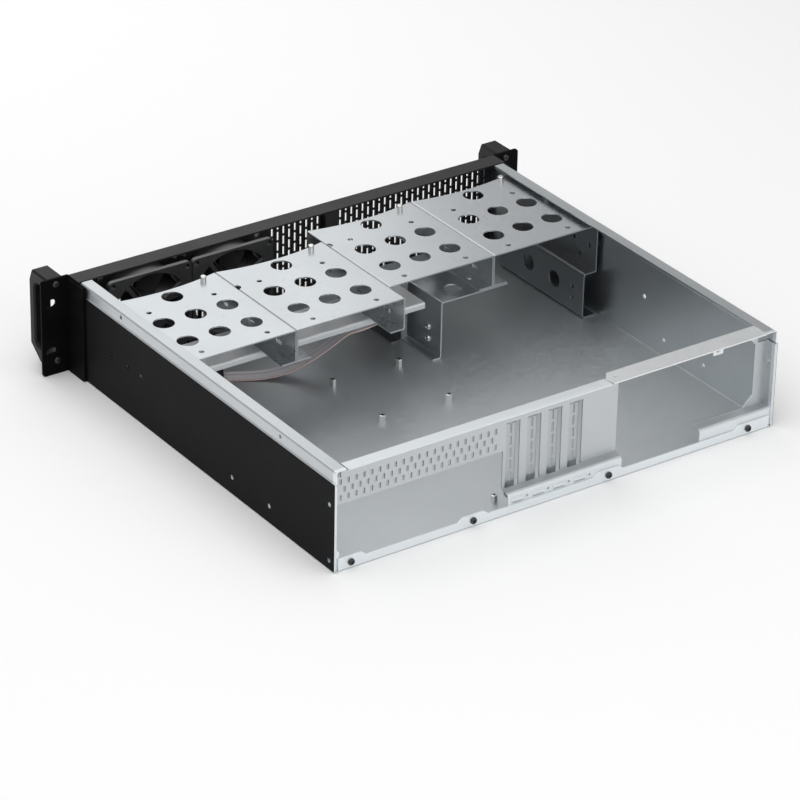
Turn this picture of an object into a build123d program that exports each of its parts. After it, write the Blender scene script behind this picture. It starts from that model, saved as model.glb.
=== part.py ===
from build123d import *
import math
import os

# Empty 2U rackmount server case, cover off: folded steel tray, rear panel, vented front
# panel with rack ears and handles, two 80 mm fans, four drive brackets and their supports.
# Millimetres. +Z up, front faces -Y, origin under the middle of the bounding box.

# Overall sizes
PANEL_HEIGHT = 88.1
CASE_DEPTH = 394.0
BODY_WIDTH = 430.0
EAR_WIDTH = 26.3
RACK_WIDTH = BODY_WIDTH + 2 * EAR_WIDTH
HANDLE_REACH = 28.0
PANEL_Y = (HANDLE_REACH - CASE_DEPTH) / 2
REAR_Y = PANEL_Y + CASE_DEPTH

# Sheet and fits
SHEET = 1.2
PANEL_SHEET = 1.5
EAR_SHEET = 2.0
BEND = 0.7
SEAM = 0.1
REACH = 1000.0
WALL_X = BODY_WIDTH / 2
INNER_X = WALL_X - SHEET

# Tray
RIM_Z = 88.0
RIM_WIDTH = 10.3
RIM_START = 19.5
JOGGLE = 1.2
JOGGLE_Z = 77.2
JOGGLE_RISE = 1.2
RIM_OUTER_X = WALL_X - JOGGLE
RIM_INNER_X = RIM_OUTER_X - RIM_WIDTH
RIM_END = 1.5
LIP_HEIGHT = 8.0
LIP_TAB_HEIGHT = 11.5
LIP_TAB_WIDTH = 20.0
LIP_TAB_SLOPE = 5.0
LIP_HALF = WALL_X - 4.0
LIP_FOOT = 8.0
LIP_SCREW_Z = 5.8
FRONT_LIP_HEIGHT = 12.0
FRONT_LIP_END = WALL_X - 10.0
WALL_HOLE = 4.2
COVER_HOLE = 3.4
SIDE_HOLES = ((68.0, 44.0), (93.5, 44.0), (114.3, 44.0), (250.5, 16.0), (303.8, 16.0))
COVER_HOLES_Y = (82.3, 317.0)
COVER_HOLE_Z = 83.5
RIGHT_WALL_HOLE = (222.0, 45.0)

# Rear panel
RECESS = 10.0
FACE_Y = REAR_Y - RECESS
STRIP_Y = REAR_Y - SHEET - SEAM
STRIP_BASE = SHEET + BEND + SEAM
STRIP_TOP = 16.0
LEDGE_TOP = 18.6
END_FLANGE_TOP = 76.0
END_SCREW_Z = (8.5, 57.5)
END_SCREW_IN = 7.0
IO_WIDTH = 158.75
IO_RIGHT = WALL_X - IO_WIDTH - 5.75
IO_TOP = 52.5
VENT_PITCH = 7.25
VENT_WIDTH = 2.3
VENT_HEIGHT = 5.0
VENT_ROWS_Z = (58.0, 65.0, 72.0)
VENT_START = IO_RIGHT + 7.5
VENT_END = IO_RIGHT + IO_WIDTH - 2.75
SLOT_PITCH = 20.32
SLOT_FIRST = IO_RIGHT - 15.9
SLOT_COUNT = 4
SLOT_WIDTH = 13.2
SLOT_BASE = 13.8
SLOT_TOP = 76.2
NOTCH_IN = 3.0
NOTCH_SIZE = 4.0
NOTCH_BASE = 20.6
PSU_LEFT = SLOT_FIRST - (SLOT_COUNT - 1) * SLOT_PITCH - 34.64
PSU_RIGHT = 15.0 - WALL_X
PSU_BASE = 20.0
PSU_TOP = 84.0
PSU_CHAMFER = 9.0
PSU_STEP = PSU_RIGHT + 60.0
TOP_FLANGE_END = PSU_LEFT + 14.0
LIP_SCREW_X = (WALL_X - 16.0, IO_RIGHT + 33.9, PSU_LEFT + 13.5, 25.8 - WALL_X)
BRIDGE_WIDTH = 12.5
BRIDGE_HEIGHT = 3.6
BRIDGE_RISE = 1.0
BRIDGE_Z = 11.6
BRIDGE_SLIT = 0.9
BRIDGE_DIMPLE = 2.2
BRIDGE_DIMPLE_GAP = 3.0

# Slot covers
COVER_WIDTH = 9.2
COVER_SHEET = 0.8
COVER_SET_BACK = 3.0
COVER_PAD = 5.0
COVER_RAMP = 3.0
COVER_FOOT = 10.4
SLIT_COUNT = 5
SLIT_WIDTH = 2.0
SLIT_HEIGHT = 8.0
SLIT_PITCH = 10.6

# Top rail over the power supply opening
RAIL_FRONT = 17.6
RAIL_BACK = 0.6
RAIL_POINT = 7.0
RAIL_NICK = 2.0
RAIL_DIMPLE_IN = 9.0
RAIL_TAB_X = PSU_RIGHT + 37.3
RAIL_TAB_WIDTH = 10.0
RAIL_TAB_DROP = 11.0
RAIL_TAB_HOLE = 4.0
RAIL_DIMPLE = 3.0

# Front panel
TOP_FLANGE = 18.0
PANEL_HALF = WALL_X + SEAM
FIELD_LEFT = 20.0
FIELD_RIGHT = 10.0 - WALL_X
FIELD_PITCH = 5.8
FIELD_SLOT_WIDTH = 2.3
FIELD_SLOT_HEIGHT = 8.3
FIELD_ROW_PITCH = 10.0
FIELD_ROWS = 7
FIELD_BASE = 9.5
FIELD_TOP = 84.0
FRONT_LIP_START = FIELD_LEFT - 4.0
CONTROL_X = -42.5
CONTROL_WIDTH = 14.0
CONTROL_BASE = 50.0
CONTROL_TOP = 82.0

# Rack ears and handles
EAR_LEG = 28.3
EAR_CORNER = 3.0
EAR_SLOT_X = RACK_WIDTH / 2 - 8.75
EAR_SLOT_Z = (21.8, 66.25)
EAR_SLOT_HEIGHT = 7.0
EAR_SLOT_LENGTH = 10.0
HANDLE_INNER_X = WALL_X + 4.4
HANDLE_WIDTH = 16.3
HANDLE_TOP = 88.0
HANDLE_BASE = 5.8
HANDLE_BAR = 8.5
HANDLE_TOP_CUT = (4.0, 10.0)
HANDLE_BASE_CUT = (16.5, 13.0)
HANDLE_BEND = 3.0
GRIP_BASE = 20.0
GRIP_TOP = 78.0
GRIP_ROUND = 5.0
HANDLE_EDGE = 1.4
HANDLE_SCREW_Z = (12.8, 83.0)

# Fans
FAN_SIZE = 80.0
FAN_DEPTH = 25.4
FAN_X = (WALL_X - 63.2, WALL_X - 144.1)
FAN_Z = 44.05
FAN_BORE = 38.0
FAN_BARREL = 39.9
FAN_FLANGE = 4.0
FAN_CORNER = 4.5
FAN_HOLE_PITCH = 71.5
FAN_HOLE = 4.4
HUB_RADIUS = 17.0
HUB_GAP = 0.8
HUB_SET_BACK = 1.6
HUB_ROUND = 1.5
MOTOR_BASE = 3.2
STRUT_WIDTH = 3.4
STRUT_ANGLES = (35, 125, 215, 305)
BLADE_COUNT = 7
BLADE_TIP = 36.6
BLADE_ROOT = 1.2
BLADE_SHEET = 1.3
BLADE_CHORD = (15.0, 25.0)
BLADE_PITCH = (52.0, 34.0)

# Drive brackets
BRACKET_PITCH = (BODY_WIDTH - 5.4) / 4
BRACKET_WIDTH = BRACKET_PITCH - 0.25
BRACKET_LENGTH = 122.5
BRACKET_TOP = 83.3
BRACKET_DROP = 29.3
BRACKET_FLANGE = 14.0
BRACKET_BEND = 1.42
BRACKET_BACK = (177.0, 177.0, 153.5, 153.5)
BRACKET_ARC = 6.5
BIG_HOLE = 18.0
BIG_PITCH = 30.4
BIG_ROWS = (31.8, 68.0, 104.0)
BIG_COUNTS = (3, 3, 1)
SMALL_HOLE = 4.5
SMALL_OFFSET = 31.1
SMALL_ROWS = (9.9, 89.5)
EDGE_NOTCH = 3.8
EDGE_NOTCH_BACK = 90.0
DRIVE_SLOT = (9.0, 3.6)
DRIVE_SLOT_Z = 62.5
DRIVE_SLOT_BACK = (24.0, 65.6, 106.0)
STUD_RADIUS = 2.5
STUD_TOP = 87.9
STUD_IN = 16.5
STUD_BACK = 114.5
STUD_EDGE = 0.5
BRACKET_BASE = BRACKET_TOP - BRACKET_DROP

# Rail and supports under the brackets
DECK_Z = BRACKET_BASE - SEAM
FOOT_TOP = SHEET + SEAM + SHEET
RAIL_Y = (100.0, 146.0)
RAIL_LIP = 5.5
RAIL_HOLES = ((138.0, 122.0), (30.0, 122.0))
RAIL_HOLE = 18.5
RAIL_RIGHT = -42.0
SUPPORT_UPPER = WALL_X - 4.6
SUPPORT_LOWER = WALL_X - 17.0
SUPPORT_STEP_Z = 42.5
SUPPORT_FRONT = 40.0
SUPPORT_BACK = (134.0, 160.0)
SUPPORT_BIG = ((82.0, 23.0), (119.0, 22.5))
SUPPORT_BIG_HOLE = 15.0
SUPPORT_SMALL = ((144.5, 26.7), (144.5, 15.0))
SUPPORT_UPPER_SMALL = ((128.6, 64.0), (150.0, 64.0), (137.0, 51.0))
SUPPORT_HOLE = 4.0
CENTRE_X = -BRACKET_PITCH / 2
CENTRE_Y = (105.0, 154.0)
CENTRE_SHELF_END = CENTRE_X - 68.0
CENTRE_HOLE = (CENTRE_X - 23.5, 137.0)
CENTRE_HOLE_SIZE = 15.5
CENTRE_FOOT = 7.5
CENTRE_SCREW_Y = 136.0
CENTRE_SCREW_Z = (24.0, 13.0)
POST_X = RAIL_RIGHT - 2.0
POST_Y = (40.0, 109.5)
POST_FOOT = 10.0
POST_TAB_Y = 102.5
POST_RIVET = (RAIL_RIGHT + 3.5, 106.0)

# Standoffs for a mainboard
STANDOFF_OUTER = WALL_X - 8.8
STANDOFF_X = (STANDOFF_OUTER, STANDOFF_OUTER - 157.48, STANDOFF_OUTER - 223.5)
STANDOFF_BACK = (22.0, 176.94, 249.33)
STANDOFF_HEIGHT = 6.35
STANDOFF_FLATS = 5.0
STANDOFF_BORE = 1.25
STANDOFF_FLOOR = 1.5
STANDOFF_EDGE = 0.4

# Control module and its flat cable
MODULE_DEPTH = 5.0
WELL_DEPTH = 3.6
BUTTON_RADIUS = 4.0
BUTTON_Z = 75.0
BUTTON_PROUD = 1.6
BUTTON_LENGTH = 4.8
BUTTON_ROUND = 0.5
RESET_RADIUS = 2.0
RESET_Z = 66.5
LENS_RADIUS = 1.6
LENS_PROUD = 0.3
LENS_Z = (60.0, 54.5)
MODULE_GAP = 0.3
CABLE_WIDTH = 16.0
CABLE_SHEET = 1.2
PLUG_DEPTH = 8.0
PLUG_WIDTH = 19.0
PLUG_HEIGHT = 6.0
CABLE_GAP = 0.4
CABLE_UNDER = DECK_Z - RAIL_LIP - CABLE_GAP - CABLE_SHEET
CABLE_FRONT_X = -33.0
CABLE_BACK_Y = 136.0
CABLE_EXIT_Z = 55.5
CABLE_SAG = 2.5
CABLE_STEPS = (16.0, 34.0, 56.0)
CABLE_TURN_SHARE = 0.45
CABLE_TURN_X = 27.0
CABLE_TURN_ANGLE = -30.0
CABLE_DROP_FROM = -6.0
CABLE_DROP = ((2.0, 43.6), (13.0, 33.6), (27.0, 22.4), (41.0, 13.2), (55.0, 6.8), (70.0, 3.4), (86.0, 2.7))
CABLE_END = 104.0

# Fasteners
SCREW_HEAD = 2.9
SCREW_RISE = 1.8
SCREW_SHANK = 1.45
SCREW_ROUND = 0.8
RIVET_HEAD = 2.6
RIVET_RISE = 0.7
RIVET_IN = 8.4
RIVET_Y = 131.0


def at_panel(distance):
    """Y of a point this far behind the panel's front face."""
    return PANEL_Y + distance


def block(x0, x1, y0, y1, z0, z1):
    """Box between two corners."""
    size = (abs(x1 - x0), abs(y1 - y0), abs(z1 - z0))
    middle = ((x0 + x1) / 2, (y0 + y1) / 2, (z0 + z1) / 2)
    return Pos(*middle) * Box(*size)


def rod(radius, start, end):
    """Round bar between two points that share two coordinates."""
    first = Vector(*start)
    along = Vector(*end) - first
    plane = Plane(origin=first, z_dir=along)
    return extrude(plane * Circle(radius), amount=along.length)


def folded(points, radii, thickness, side, plane, length):
    """Folded sheet: a bent line, thickened to one side and drawn out along the plane's normal."""
    path = FilletPolyline(*points, radius=radii)
    section = make_face(offset(path, amount=thickness, side=side))
    return extrude(plane * section, amount=length)


def rearward(y):
    """Plane across the case at Y, with -X across and Z up, extruding to the rear."""
    return Plane(origin=(0, y, 0), x_dir=(-1, 0, 0), z_dir=(0, 1, 0))


def forward(y):
    """Plane across the case at Y, with X across and Z up, extruding to the front."""
    return Plane(origin=(0, y, 0), x_dir=(1, 0, 0), z_dir=(0, -1, 0))


def sideways(x):
    """Plane along the case at X, with Y along and Z up, extruding to +X."""
    return Plane(origin=(x, 0, 0), x_dir=(0, 1, 0), z_dir=(1, 0, 0))


def outline(points, plane, length):
    """Prism on an outline of straight edges."""
    return extrude(plane * make_face(Polyline(*points, close=True)), amount=length)


def round_holes(axis_y, spots, radius):
    """Round cutters along Y (axis_y) or X through a list of (across, up) spots."""
    if axis_y:
        return [rod(radius, (a, -REACH, z), (a, REACH, z)) for a, z in spots]
    return [rod(radius, (-REACH, y, z), (REACH, y, z)) for y, z in spots]


def screw(spot, direction, shank):
    """Pan-head screw whose head sits at the spot and stands out along the direction."""
    seat = Vector(*spot)
    out = Vector(*direction)
    head = rod(SCREW_HEAD, tuple(seat), tuple(seat + out * SCREW_RISE))
    rim = head.edges().group_by(Axis(seat, out))[-1]
    head = fillet(rim, SCREW_ROUND)
    return head + rod(SCREW_SHANK, tuple(seat - out * shank), tuple(seat))


def tray():
    """Floor, side walls with a joggled bare rim, rear lip and front lip in one folded sheet."""
    half = [(RIM_INNER_X, RIM_Z), (RIM_OUTER_X, RIM_Z), (RIM_OUTER_X, JOGGLE_Z + JOGGLE_RISE)]
    half += [(WALL_X, JOGGLE_Z), (WALL_X, 0)]
    mirrored = [(-x, z) for x, z in reversed(half)]
    bends = [BEND + SHEET, BEND, BEND, BEND + SHEET]
    start = PANEL_SHEET + SEAM
    shell = folded(half + mirrored, bends + bends[::-1], SHEET, Side.RIGHT,
                   rearward(at_panel(start)), CASE_DEPTH - start)
    rim_base = RIM_Z - SHEET - BEND - SEAM
    front_clear = block(-REACH, REACH, at_panel(0), at_panel(RIM_START), rim_base, REACH)
    rim_clear = block(-RIM_OUTER_X + SHEET, RIM_OUTER_X - SHEET, REAR_Y - RIM_END, REACH, rim_base, REACH)
    floor_end = block(-LIP_HALF, LIP_HALF, REAR_Y - LIP_FOOT, REACH, -SHEET, LIP_TAB_HEIGHT * 2)
    shell = shell - front_clear - rim_clear - floor_end
    shell = shell + rear_lip() + front_lip()
    left = [(at_panel(y), z) for y, z in SIDE_HOLES]
    left += [(REAR_Y - END_SCREW_IN, z) for z in END_SCREW_Z]
    cutters = round_holes(False, left, WALL_HOLE / 2)
    cutters += round_holes(False, [(at_panel(y), COVER_HOLE_Z) for y in COVER_HOLES_Y], COVER_HOLE / 2)
    spot = (at_panel(RIGHT_WALL_HOLE[0]), RIGHT_WALL_HOLE[1])
    cutters.append(rod(WALL_HOLE / 2, (-REACH, *spot), (0, *spot)))
    return shell - cutters


def rear_lip():
    """Upturned rear lip whose tabs rise around the screws."""
    points = [(REAR_Y - LIP_FOOT, 0), (REAR_Y, 0), (REAR_Y, LIP_TAB_HEIGHT)]
    lip = folded(points, [BEND + SHEET], SHEET, Side.LEFT, sideways(-LIP_HALF), LIP_HALF * 2)
    edges = [LIP_HALF]
    for x in LIP_SCREW_X:
        edges += [x + LIP_TAB_WIDTH / 2, x - LIP_TAB_WIDTH / 2]
    edges.append(-LIP_HALF)
    for left, right in zip(edges[::2], edges[1::2]):
        if left - right > LIP_TAB_SLOPE * 3:
            lip = lip - lip_dip(left, right)
    return lip - round_holes(True, [(x, LIP_SCREW_Z) for x in LIP_SCREW_X], SCREW_SHANK + SEAM)


def lip_dip(left, right):
    """Cutter that lowers the lip between two tabs, with sloping ends."""
    slope = LIP_TAB_SLOPE
    points = [(-left, LIP_TAB_HEIGHT), (-left, LIP_TAB_HEIGHT * 2), (-right, LIP_TAB_HEIGHT * 2)]
    points += [(-right, LIP_TAB_HEIGHT), (-right - slope, LIP_HEIGHT), (-left + slope, LIP_HEIGHT)]
    return outline(points, rearward(REAR_Y - SHEET * 2), SHEET * 4)


def front_lip():
    """Upturned front lip behind the panel, left out where the fans stand."""
    front = at_panel(PANEL_SHEET + SEAM)
    points = [(front + LIP_FOOT, 0), (front, 0), (front, FRONT_LIP_HEIGHT)]
    return folded(points, [BEND + SHEET], SHEET, Side.RIGHT, sideways(-FRONT_LIP_END),
                  FRONT_LIP_END + FRONT_LIP_START)


def slot_centres():
    """X of the middle of each expansion opening."""
    return [SLOT_FIRST + SLOT_WIDTH / 2 - i * SLOT_PITCH for i in range(SLOT_COUNT)]


def rear_panel():
    """Recessed rear face with its top flange, lower strip and end flanges."""
    inner_face = FACE_Y - SHEET
    inner_strip = STRIP_Y - SHEET
    points = [(REAR_Y, RIM_Z), (inner_face, RIM_Z), (inner_face, LEDGE_TOP)]
    points += [(inner_strip, STRIP_TOP), (inner_strip, STRIP_BASE)]
    half = INNER_X - SEAM
    panel = folded(points, [BEND, BEND, BEND], SHEET, Side.LEFT, sideways(-half), half * 2)
    panel = panel - block(RIM_INNER_X - 1, REACH, inner_face - 1, REACH, END_FLANGE_TOP, REACH)
    panel = panel - block(-REACH, TOP_FLANGE_END, inner_face - 1, REACH, RIM_Z - SHEET - SEAM, REACH)
    panel = panel - block(-REACH, -RIM_INNER_X + 1, inner_face - 1, REACH, END_FLANGE_TOP, REACH)
    for side in (-1, 1):
        panel = panel + block(side * half, side * (half - SHEET), inner_face, REAR_Y - SEAM,
                              STRIP_BASE, END_FLANGE_TOP)
    return panel - rear_cutters()


def rear_cutters():
    """Openings of the rear panel: input-output, power supply, card slots, vents and screws."""
    io = block(IO_RIGHT, IO_RIGHT + IO_WIDTH, FACE_Y - RECESS, REACH, -1, IO_TOP)
    cutters = [io, psu_cutter(), block(PSU_STEP, PSU_LEFT, FACE_Y - RECESS, REACH, -1, PSU_BASE + 1)]
    notch = IO_RIGHT - NOTCH_IN
    cutters.append(block(notch - NOTCH_SIZE, notch, FACE_Y - RECESS, REACH,
                         NOTCH_BASE, NOTCH_BASE + NOTCH_SIZE))
    for x in slot_centres():
        cutters.append(block(x - SLOT_WIDTH / 2, x + SLOT_WIDTH / 2, FACE_Y - RECESS, FACE_Y + 1,
                             SLOT_BASE, SLOT_TOP))
    for row, z in enumerate(VENT_ROWS_Z):
        x = VENT_START + (VENT_PITCH / 2 if row % 2 else 0)
        while x < VENT_END:
            cutters.append(block(x - VENT_WIDTH / 2, x + VENT_WIDTH / 2, FACE_Y - 3, FACE_Y + 1,
                                 z - VENT_HEIGHT / 2, z + VENT_HEIGHT / 2))
            x += VENT_PITCH
    cutters += round_holes(False, [(REAR_Y - END_SCREW_IN, z) for z in END_SCREW_Z], WALL_HOLE / 2)
    solid_lip = [x for x in LIP_SCREW_X if x < IO_RIGHT]
    cutters += round_holes(True, [(x, LIP_SCREW_Z) for x in solid_lip], SCREW_SHANK + SEAM)
    return cutters


def psu_cutter():
    """Power supply opening, with two corners cut off on its outer side."""
    left, right, base, top, cut = -PSU_LEFT, -PSU_RIGHT, PSU_BASE, PSU_TOP, PSU_CHAMFER
    points = [(left, base), (right - cut, base), (right, base + cut), (right, top - cut)]
    points += [(right - cut, top), (left, top)]
    return outline(points, rearward(FACE_Y - RECESS), RECESS + 2)


def slot_bridge(x):
    """Raised bridge under a card slot that catches the foot of a card bracket."""
    pad = block(x - BRIDGE_WIDTH / 2, x + BRIDGE_WIDTH / 2, STRIP_Y - SHEET, STRIP_Y + BRIDGE_RISE,
                BRIDGE_Z - BRIDGE_HEIGHT / 2, BRIDGE_Z + BRIDGE_HEIGHT / 2)
    outer = pad.faces().sort_by(Axis.Y)[-1].edges()
    return chamfer(outer, BRIDGE_RISE * 0.7)


def rear_panel_with_bridges():
    """Rear panel and its four bridges, each with a slit below for the bracket foot."""
    panel = rear_panel()
    for x in slot_centres():
        slit = block(x - BRIDGE_WIDTH / 2 + BRIDGE_RISE, x + BRIDGE_WIDTH / 2 - BRIDGE_RISE, FACE_Y, REACH,
                     BRIDGE_Z - BRIDGE_HEIGHT / 2 - BRIDGE_SLIT, BRIDGE_Z - BRIDGE_HEIGHT / 2)
        hole = x - BRIDGE_WIDTH / 2 - BRIDGE_DIMPLE_GAP
        panel = panel + slot_bridge(x) - slit
        panel = panel - rod(BRIDGE_DIMPLE / 2, (hole, FACE_Y, BRIDGE_Z), (hole, REACH, BRIDGE_Z))
    return panel


def slot_cover(x):
    """Blanking strip set back from the face, with a top pad, a foot and a column of slits."""
    pad = FACE_Y - SHEET - SEAM
    back = FACE_Y - COVER_SET_BACK
    foot = STRIP_Y - SHEET - SEAM
    points = [(pad, SLOT_TOP + COVER_PAD), (pad, SLOT_TOP), (back, SLOT_TOP - COVER_RAMP)]
    points += [(back, COVER_FOOT), (foot, COVER_FOOT)]
    strip = folded(points, [BEND, BEND, BEND + COVER_SHEET], COVER_SHEET, Side.RIGHT,
                   sideways(x - COVER_WIDTH / 2), COVER_WIDTH)
    middle = (LEDGE_TOP + SLOT_TOP) / 2
    for i in range(SLIT_COUNT):
        z = middle + (i - (SLIT_COUNT - 1) / 2) * SLIT_PITCH
        strip = strip - block(x - SLIT_WIDTH / 2, x + SLIT_WIDTH / 2, FACE_Y - RECESS, FACE_Y,
                              z - SLIT_HEIGHT / 2, z + SLIT_HEIGHT / 2)
    return strip


def top_rail():
    """Flat rail across the top of the power supply opening, with one hanging screw tab."""
    front = REAR_Y - RAIL_FRONT
    back = REAR_Y - RAIL_BACK
    left = TOP_FLANGE_END - SEAM
    right = -RIM_INNER_X + SEAM
    base = RIM_Z - SHEET
    middle = (front + back) / 2
    points = [(right, front), (left - RAIL_POINT, front), (left, middle), (left - RAIL_NICK, back)]
    points.append((right, back))
    rail = extrude(Plane.XY.offset(base) * make_face(Polyline(*points, close=True)), amount=SHEET)
    tab = block(RAIL_TAB_X - RAIL_TAB_WIDTH / 2, RAIL_TAB_X + RAIL_TAB_WIDTH / 2,
                FACE_Y - SHEET * 2, FACE_Y - SHEET - SEAM, base - RAIL_TAB_DROP, base)
    rail = rail + tab
    spot = (RAIL_TAB_X, base - RAIL_TAB_DROP + RAIL_TAB_HOLE)
    rail = rail - round_holes(True, [spot], RAIL_TAB_HOLE / 2)
    dimple = left - RAIL_DIMPLE_IN
    return rail - rod(RAIL_DIMPLE / 2, (dimple, middle, 0), (dimple, middle, REACH))


def front_panel():
    """Vented face with a top flange folded back."""
    points = [(at_panel(0), 0), (at_panel(0), PANEL_HEIGHT), (at_panel(TOP_FLANGE), PANEL_HEIGHT)]
    panel = folded(points, [BEND + PANEL_SHEET], PANEL_SHEET, Side.RIGHT, sideways(-PANEL_HALF),
                   PANEL_HALF * 2)
    screw_holes = round_holes(True, fan_holes(), SCREW_SHANK + SEAM)
    return panel - field_slots() - control_holes() - screw_holes


def fan_holes():
    """Where the fans are screwed to the panel, as (X, Z)."""
    half = FAN_HOLE_PITCH / 2
    return [(x + a * half, FAN_Z + b * half) for x in FAN_X for a in (-1, 1) for b in (-1, 1)]


def in_fan(x, z):
    """Whether a vent slot lies wholly inside one of the fan openings."""
    reach = FIELD_SLOT_HEIGHT / 2
    return any(math.hypot(x - fan, abs(z - FAN_Z) + reach) < FAN_BORE for fan in FAN_X)


def in_controls(x, z):
    """Whether a vent slot would touch the solid patch of the controls."""
    near = abs(x - CONTROL_X) < (CONTROL_WIDTH + FIELD_SLOT_WIDTH) / 2
    return near and z + FIELD_SLOT_HEIGHT / 2 > CONTROL_BASE - SHEET


def field_slots():
    """Staggered upright vent slots over the open side and in front of each fan."""
    slots = []
    columns = int((FAN_X[0] + FAN_BORE - FIELD_RIGHT) / FIELD_PITCH) + 1
    for column in range(columns):
        x = FIELD_RIGHT + column * FIELD_PITCH
        shift = FIELD_ROW_PITCH / 2 if column % 2 else 0
        for row in range(FIELD_ROWS + 1 - column % 2):
            z = FIELD_BASE + FIELD_SLOT_HEIGHT / 2 + shift + row * FIELD_ROW_PITCH
            if z + FIELD_SLOT_HEIGHT / 2 > FIELD_TOP:
                continue
            if in_controls(x, z) or (x > FIELD_LEFT and not in_fan(x, z)):
                continue
            slots.append(block(x - FIELD_SLOT_WIDTH / 2, x + FIELD_SLOT_WIDTH / 2,
                               at_panel(-1), at_panel(PANEL_SHEET + 1),
                               z - FIELD_SLOT_HEIGHT / 2, z + FIELD_SLOT_HEIGHT / 2))
    return slots


def control_holes():
    """Holes for the two buttons and the two lamp lenses."""
    cutters = round_holes(True, [(CONTROL_X, BUTTON_Z)], BUTTON_RADIUS + MODULE_GAP)
    cutters += round_holes(True, [(CONTROL_X, RESET_Z)], RESET_RADIUS + MODULE_GAP)
    cutters += round_holes(True, [(CONTROL_X, z) for z in LENS_Z], LENS_RADIUS + SEAM)
    return cutters


def rack_ear(side):
    """Angle bracket: slotted ear in the panel's plane and a leg back along the side wall."""
    ear = ear_body(PANEL_HALF + SEAM, RACK_WIDTH / 2)
    for z in EAR_SLOT_Z:
        spot = Plane(origin=(EAR_SLOT_X, PANEL_Y - 1, z), x_dir=(1, 0, 0), z_dir=(0, 1, 0))
        ear = ear - extrude(spot * SlotOverall(EAR_SLOT_LENGTH, EAR_SLOT_HEIGHT), amount=EAR_SHEET + 2)
    x = HANDLE_INNER_X + HANDLE_WIDTH / 2
    ear = ear - round_holes(True, [(x, z) for z in HANDLE_SCREW_Z], SCREW_SHANK + SEAM)
    return ear if side > 0 else mirror(ear, about=Plane.YZ)


def ear_body(inner, outer):
    """Right-hand ear before its slots, with rounded outer corners."""
    face = block(inner, outer, PANEL_Y, PANEL_Y + EAR_SHEET, 0, PANEL_HEIGHT)
    corners = face.edges().filter_by(Axis.Y).group_by(Axis.X)[-1]
    face = fillet(corners, EAR_CORNER)
    leg = block(inner, inner + EAR_SHEET, PANEL_Y, at_panel(EAR_LEG), 0, PANEL_HEIGHT - EAR_SHEET)
    leg_corners = leg.edges().filter_by(Axis.X).group_by(Axis.Y)[-1]
    leg = fillet(leg_corners, EAR_CORNER)
    return face + leg


def handle(side):
    """Solid grip with a finger opening and softened edges."""
    front = PANEL_Y - HANDLE_REACH
    bar = front + HANDLE_BAR
    points = [(PANEL_Y, HANDLE_TOP), (front + HANDLE_TOP_CUT[0], HANDLE_TOP)]
    points.append((front, HANDLE_TOP - HANDLE_TOP_CUT[1]))
    points += [(front, HANDLE_BASE + HANDLE_BASE_CUT[1]), (front + HANDLE_BASE_CUT[0], HANDLE_BASE)]
    points.append((PANEL_Y, HANDLE_BASE))
    body = outline(points, sideways(HANDLE_INNER_X), HANDLE_WIDTH)
    grip = block(HANDLE_INNER_X - 1, REACH, bar, PANEL_Y + 1, GRIP_BASE, GRIP_TOP)
    grip_corners = grip.edges().filter_by(Axis.X).group_by(Axis.Y)[0]
    grip = fillet(grip_corners, GRIP_ROUND)
    body = body - grip
    bends = [e for e in body.edges().filter_by(Axis.X) if e.center().Y < bar - SEAM]
    body = fillet([e for e in bends if not GRIP_BASE < e.center().Z < GRIP_TOP], HANDLE_BEND)
    faces = body.faces().filter_by(Axis.X)
    rims = [e for f in faces for e in f.edges() if e.center().Y < PANEL_Y - SEAM]
    body = chamfer(rims, HANDLE_EDGE)
    return body if side > 0 else mirror(body, about=Plane.YZ)


def fan_frame(x):
    """Square fan housing: two flanges, round barrel, motor base and four arms."""
    front = at_panel(PANEL_SHEET + SEAM)
    back = front + FAN_DEPTH
    centre = Plane(origin=(x, front, FAN_Z), x_dir=(1, 0, 0), z_dir=(0, 1, 0))
    flange = RectangleRounded(FAN_SIZE, FAN_SIZE, FAN_CORNER)
    frame = extrude(centre * flange, amount=FAN_FLANGE)
    frame = frame + extrude(centre.offset(FAN_DEPTH - FAN_FLANGE) * flange, amount=FAN_FLANGE)
    frame = frame + extrude(centre * Circle(FAN_BARREL), amount=FAN_DEPTH)
    frame = frame - extrude(centre.offset(-1) * Circle(FAN_BORE), amount=FAN_DEPTH + 2)
    half = FAN_HOLE_PITCH / 2
    spots = [(x + a * half, FAN_Z + b * half) for a in (-1, 1) for b in (-1, 1)]
    frame = frame - [rod(FAN_HOLE / 2, (a, front - 1, z), (a, back + 1, z)) for a, z in spots]
    base = extrude(centre.offset(FAN_DEPTH - MOTOR_BASE) * Circle(HUB_RADIUS + 1), amount=MOTOR_BASE)
    for angle in STRUT_ANGLES:
        arm = block(HUB_RADIUS, FAN_BORE + 1, back - MOTOR_BASE, back, -STRUT_WIDTH / 2, STRUT_WIDTH / 2)
        base = base + Pos(x, 0, FAN_Z) * Rot(0, angle, 0) * arm
    return frame + base


def fan_rotor(x):
    """Hub cup with seven twisted blades."""
    front = at_panel(PANEL_SHEET + SEAM) + HUB_SET_BACK
    back = at_panel(PANEL_SHEET + SEAM) + FAN_DEPTH - MOTOR_BASE - HUB_GAP
    hub = rod(HUB_RADIUS, (x, front, FAN_Z), (x, back, FAN_Z))
    hub = fillet(hub.faces().sort_by(Axis.Y)[0].edges(), HUB_ROUND)
    middle = (front + back) / 2
    for i in range(BLADE_COUNT):
        blade = Pos(x, middle, FAN_Z) * Rot(0, i * 360 / BLADE_COUNT, 0) * fan_blade()
        hub = hub + blade
    return hub


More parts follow.
